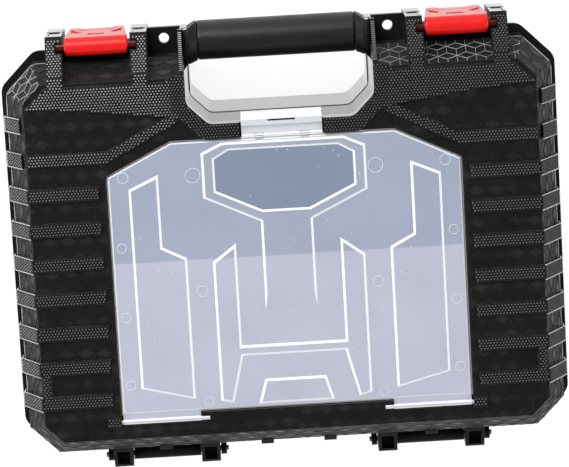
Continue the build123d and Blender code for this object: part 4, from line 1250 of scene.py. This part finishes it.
@dataclass
class ShellRelief:
    """Tumbling-block lines on the flats, slopes and walls of both shells."""

    finishes: Finishes
    gap: float = 0.4
    opening_clear: float = 73.5
    sill_drop: float = 10.0
    half_sill: float = 62.0
    relief: CubeRelief = CubeRelief()

    def face_patches(self) -> list[Patch]:
        """Right half of the flat front face, as convex pieces round the organiser.

        Returns:
            Patches seen from outside.
        """
        s = SIZES
        z = s.face
        lid_x = s.half_lid + s.recess_gap + self.gap
        bevel = s.face_bevel
        foot_y = s.lid_bottom - self.sill_drop
        side = (
            (lid_x, s.face_bottom), (s.half_face - bevel, s.face_bottom),
            (s.half_face, s.face_bottom + bevel), (s.half_face, s.face_top - bevel),
            (s.half_face - bevel, s.face_top), (lid_x, s.face_top),
        )
        shoulder = (
            (lid_x, s.lid_shoulder + s.recess_gap), (lid_x, s.face_top), (s.half_lid_top, s.face_top),
            (s.half_lid_top, s.lid_top + s.recess_gap + self.gap),
        )
        foot = rectangle(0.0, lid_x, s.face_bottom, foot_y)
        sill = rectangle(0.0, self.half_sill, foot_y, s.lid_bottom - s.recess_gap - self.gap)
        return [Patch(tuple((x, y, z) for x, y in outline), origin=(0.0, 0.0, z))
                for outline in (side, shoulder, foot, sill)]

    def slope_patches(self, low: float, high: float, width: float) -> list[Patch]:
        """Sloped shoulder all round, on the right half.

        Args:
            low: Height where the slope leaves the wall.
            high: Height where it meets the face.
            width: How far it runs inwards.

        Returns:
            Patches seen from outside.
        """
        s = SIZES
        bevel = s.corner_bevel
        inner_bevel = bevel - width * (2 - math.sqrt(2))
        half, top, bottom = s.half_body, s.body_top, s.body_bottom
        inner, inner_top, inner_bottom = half - width, top - width, bottom + width
        clear = self.opening_clear
        quads = [
            (((half, bottom + bevel, low), (half, top - bevel, low), (inner, inner_top - inner_bevel, high),
              (inner, inner_bottom + inner_bevel, high)), (0.0, 1.0, 0.0)),
            (((half, top - bevel, low), (half - bevel, top, low), (inner - inner_bevel, inner_top, high),
              (inner, inner_top - inner_bevel, high)), (-1.0, 1.0, 0.0)),
            (((half - bevel, top, low), (clear, top, low), (clear, inner_top, high),
              (inner - inner_bevel, inner_top, high)), (1.0, 0.0, 0.0)),
            (((half, bottom + bevel, low), (inner, inner_bottom + inner_bevel, high),
              (inner - inner_bevel, inner_bottom, high), (half - bevel, bottom, low)), (-1.0, -1.0, 0.0)),
            (((0.0, bottom, low), (half - bevel, bottom, low), (inner - inner_bevel, inner_bottom, high),
              (0.0, inner_bottom, high)), (1.0, 0.0, 0.0)),
        ]
        patches = [Patch(corners, across) for corners, across in quads]
        if high < low:
            patches = [Patch(tuple(reversed(patch.corners)), patch.across) for patch in patches]
        return patches

    def wall_patches(self, low: float, high: float) -> list[Patch]:
        """Upright walls, on the right half, between two heights.

        Args:
            low: Height of their lower edge.
            high: Height of their upper edge.

        Returns:
            Patches seen from outside.
        """
        s = SIZES
        bevel = s.corner_bevel
        half, top, bottom = s.half_body, s.body_top, s.body_bottom
        runs = [
            ((half, bottom + bevel), (half, top - bevel)),
            ((half, top - bevel), (half - bevel, top)),
            ((half - bevel, top), (self.opening_clear, top)),
            ((half - bevel, bottom), (half, bottom + bevel)),
            ((0.0, bottom), (half - bevel, bottom)),
        ]
        return [Patch(((ax, ay, low), (bx, by, low), (bx, by, high), (ax, ay, high)), (bx - ax, by - ay, 0.0))
                for (ax, ay), (bx, by) in runs]

    def build(self) -> None:
        """Model the lines and tiles of both shells."""
        s = SIZES
        slopes = self.slope_patches(s.shoulder, s.face, s.chamfer_width)
        side_slope, corner_slope, grip_slope, *low_slopes = slopes
        faces = self.face_patches()
        rest = faces + [side_slope] + low_slopes + self.wall_patches(s.seam + self.gap, s.shoulder)
        dim = rest + [corner_slope] + [patch.mirror() for patch in rest + [grip_slope]]
        # Painted highlight: these patches take the near-white lines.
        bright = [grip_slope, corner_slope.mirror()]
        faces += [patch.mirror() for patch in faces]
        slopes += [patch.mirror() for patch in slopes]
        rear = self.slope_patches(s.rear_chamfer_depth, s.rear_skin, s.rear_chamfer_width)
        rear += self.wall_patches(s.rear_chamfer_depth, s.flange_bottom - self.gap)
        rear += [patch.mirror() for patch in rear]
        pieces = (
            ("front_shell_cube_lines", dim, False, Body.FRONT, self.finishes.relief),
            ("grip_slope_cube_lines", bright, False, Body.FRONT, self.finishes.painted_highlight_relief),
            ("front_face_cube_tiles", faces, True, Body.FRONT, self.finishes.tiles),
            ("front_slope_cube_tiles", slopes, True, Body.FRONT, self.finishes.painted_light_slope_tiles),
            ("rear_shell_cube_lines", rear, False, Body.BASE, self.finishes.relief),
        )
        for name, patches, tiles, body, finish in pieces:
            add_piece(name, self.relief.cover_all(patches, tiles), body, finish)


@dataclass
class Organiser:
    """Clear lid with its ejector-pin rings, milky tray, dividers, screws and clip."""

    finishes: Finishes
    ring_tube: float = 0.4
    ring_sides: int = 6
    ring_steps: int = 20
    slit_painted_shadow: Point = (20.3, 1.25, 0.8)
    slit_y: float = 115.9
    slit_z: float = 111.6
    pocket_inset: float = 1.9
    pocket_film: float = 0.15
    pocket_corners: Outline = ((41.0, 96.0), (53.2, 89.0), (53.2, 63.5), (18.0, 46.8))
    side_rings: tuple[Point, ...] = (
        (124.0, 25.0, 3.6), (124.0, -28.0, 3.6), (124.0, -80.0, 3.6), (120.0, 78.0, 4.0), (68.0, 77.0, 5.5),
        (66.0, -11.0, 4.0), (66.0, -96.0, 3.5),
    )

    def build(self) -> None:
        """Dress the nodes and model the rings."""
        dress(self.finishes.tray, "organiser_tray", "cross_divider", "centre_divider")
        dress(self.finishes.lid, "organiser_lid")
        dress(self.finishes.clip, "organiser_clip")
        dress(self.finishes.steel, "tray_screws")
        bm = bmesh.new()
        for x, y, radius in self.side_rings:
            for side in (-1, 1):
                self.ring(bm, side * x, y, radius)
        add_piece("lid_ejector_rings", bm, Body.LID, self.finishes.lid_rings, smooth=True)
        add_piece("lid_pocket_floor", self.pocket_floor(), Body.LID, self.finishes.lid_pocket)
        # Painted shadow: a near-black box fills the clip's slit, where there is only shade.
        bm = bmesh.new()
        width, depth, height = self.slit_painted_shadow
        place = Matrix.Translation((0.0, self.slit_y, self.slit_z))
        bmesh.ops.create_cube(bm, size=1.0, matrix=place @ Matrix.Diagonal((width, depth, height, 1.0)))
        add_piece("clip_slit_painted_shadow", bm, Body.CLIP, self.finishes.shade)

    def pocket_floor(self) -> BMesh:
        """Thin polished floor of the pocket in the lid's middle panel.

        Returns:
            A mesh in front-view millimetres.
        """
        outline = [(-x, y) for x, y in reversed(self.pocket_corners)] + list(self.pocket_corners)
        bm = bmesh.new()
        corners = [bm.verts.new((x, y, SIZES.lid_surface)) for x, y in outline]
        face = bm.faces.new(corners)
        rim = bmesh.ops.inset_individual(bm, faces=[face], thickness=self.pocket_inset, depth=0.0)
        bmesh.ops.delete(bm, geom=rim["faces"], context="FACES")
        bmesh.ops.recalc_face_normals(bm, faces=bm.faces[:])
        bmesh.ops.solidify(bm, geom=bm.faces[:], thickness=self.pocket_film)
        top = max(vert.co.z for vert in bm.verts)
        bmesh.ops.translate(bm, vec=(0.0, 0.0, SIZES.lid_surface + self.pocket_film - top), verts=bm.verts)
        return bm

    def ring(self, bm: BMesh, x: float, y: float, radius: float) -> None:
        """Round raised ring on the lid's outer surface.

        Args:
            bm: The mesh that takes it.
            x: X of its middle.
            y: Y of its middle.
            radius: Its radius.
        """
        centre = Vector((x, y, SIZES.lid_surface))
        place = Matrix.Translation(centre + Vector((radius, 0.0, 0.0))) @ Matrix.Rotation(math.pi / 2, 4, "X")
        made = bmesh.ops.create_circle(bm, segments=self.ring_sides, radius=self.ring_tube, matrix=place)
        edges = list({edge for vert in made["verts"] for edge in vert.link_edges})
        bmesh.ops.spin(bm, geom=edges, cent=centre, axis=(0.0, 0.0, 1.0), angle=2 * math.pi,
                       steps=self.ring_steps, use_merge=True)


@dataclass
class Hardware:
    """Shells, latches, grip, collars and hinge pins."""

    finishes: Finishes

    def build(self) -> None:
        """Dress the nodes."""
        dress(self.finishes.latch, "latch_left", "latch_right")
        dress(self.finishes.collar, "collar_left", "collar_right", "handle_core")
        dress(self.finishes.grip, "handle_grip")
        dress(self.finishes.steel, "hinge_pin_left", "hinge_pin_right")
        dress(self.finishes.shell, "rear_shell", "front_shell")


@dataclass
class Studio:
    """Pale floor, soft light and the camera of the photograph."""

    floor_half: float = 3.0
    camera_place: Point = (0.02058, -0.44190, 2.43228)
    camera_aim: Point = (0.00241, -0.01176, 0.112)
    camera_roll: float = 174.2526
    lens: float = 200.47
    ambient: float = 0.8
    zenith: float = 0.3
    floor_grey: float = 0.28
    floor_glow: float = 0.88
    lamp_aim: Point = (0.0, 0.0, 0.05)
    lamps: tuple[tuple[str, Point, float, float], ...] = (
        ("key", (0.8, -1.5, 1.6), 1.2, 34.0),
        ("left_fill", (1.8, 0.6, 1.2), 1.0, 15.0),
        ("right_fill", (-1.8, 0.3, 1.2), 1.0, 15.0),
    )

    def build(self) -> None:
        """Make the floor, world, lamps and camera."""
        self.floor()
        self.world()
        for name, place, size, power in self.lamps:
            self.lamp(name, place, size, power)
        self.camera()

    def floor(self) -> None:
        """Plain floor that shows white and keeps a soft shadow."""
        bm = bmesh.new()
        bmesh.ops.create_grid(bm, x_segments=1, y_segments=1, size=self.floor_half)
        floor = placed("floor", mesh_of("floor", bm))
        graph = MaterialGraph("pale_floor")
        looked_at = graph.seen("Is Camera Ray", "Is Glossy Ray", "Is Transmission Ray")
        graph.set(Base_Color=(*[self.floor_grey] * 3, 1.0), Roughness=0.9, Specular_IOR_Level=0.0,
                  Emission_Color=(1.0, 1.0, 1.0, 1.0),
                  Emission_Strength=graph.ramp(looked_at, 0.0, 1.0, 0.0, self.floor_glow))
        floor.data.materials.append(graph.material)
        floor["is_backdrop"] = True

    def world(self) -> None:
        """White surroundings that fade towards the ceiling, softer as light than as a background."""
        world = bpy.data.worlds.new("white_studio")
        world.use_nodes = True
        graph = Graph(world.node_tree)
        background = graph.tree.nodes["Background"]
        background.inputs["Color"].default_value = (1.0, 1.0, 1.0, 1.0)
        height = graph.split(graph.node("ShaderNodeTexCoord").outputs["Generated"])["Z"]
        ceiling = graph.ramp(height, 0.25, 0.9, 1.0, self.zenith)
        level = graph.ramp(graph.seen("Is Glossy Ray", "Is Transmission Ray"), 0.0, 1.0, self.ambient, 1.0)
        light = graph.math("MULTIPLY", ceiling, level)
        graph.feed(background.inputs["Strength"], graph.math("MAXIMUM", light, graph.seen("Is Camera Ray")))
        bpy.context.scene.world = world

    def lamp(self, name: str, place: Point, size: float, power: float) -> None:
        """Square soft lamp that faces the case.

        Args:
            name: The lamp's name.
            place: Where it hangs, in metres.
            size: Side of its square, in metres.
            power: Its power, in watts.
        """
        data = bpy.data.lights.new(name, "AREA")
        data.size = size
        data.energy = power
        lamp = placed(name, data)
        lamp.location = place
        lamp.rotation_euler = (Vector(self.lamp_aim) - Vector(place)).to_track_quat("-Z", "Y").to_euler()

    def camera(self) -> None:
        """Camera of the photograph: nearly square on, rolled half round so the grip is at the top."""
        data = bpy.data.cameras.new("camera")
        data.sensor_fit = "HORIZONTAL"
        data.lens = self.lens
        data.clip_start = 0.1
        data.clip_end = 20.0
        camera = placed("camera", data)
        place = Vector(self.camera_place)
        turn = (Vector(self.camera_aim) - place).to_track_quat("-Z", "Y").to_matrix().to_4x4()
        roll = Matrix.Rotation(math.radians(self.camera_roll), 4, "Z")
        camera.matrix_world = Matrix.Translation(place) @ turn @ roll
        bpy.context.scene.camera = camera


def write_sizes() -> None:
    """Work out the box of the frame and of the dressed case as lists."""
    boxes = {"cad": cad_bounds, "visual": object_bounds()}
    boxes = {name: [list(corner) for corner in box] for name, box in boxes.items()}


def main() -> None:
    """Dress the case and set the studio."""
    logging.basicConfig(level=logging.INFO, format="%(message)s")
    bpy.context.scene.view_settings.view_transform = "Standard"
    finishes = Finishes()
    Hardware(finishes).build()
    Organiser(finishes).build()
    FaceBands(finishes).build()
    ShellRelief(finishes).build()
    Studio().build()
    write_sizes()


if __name__ == "__main__":
    main()
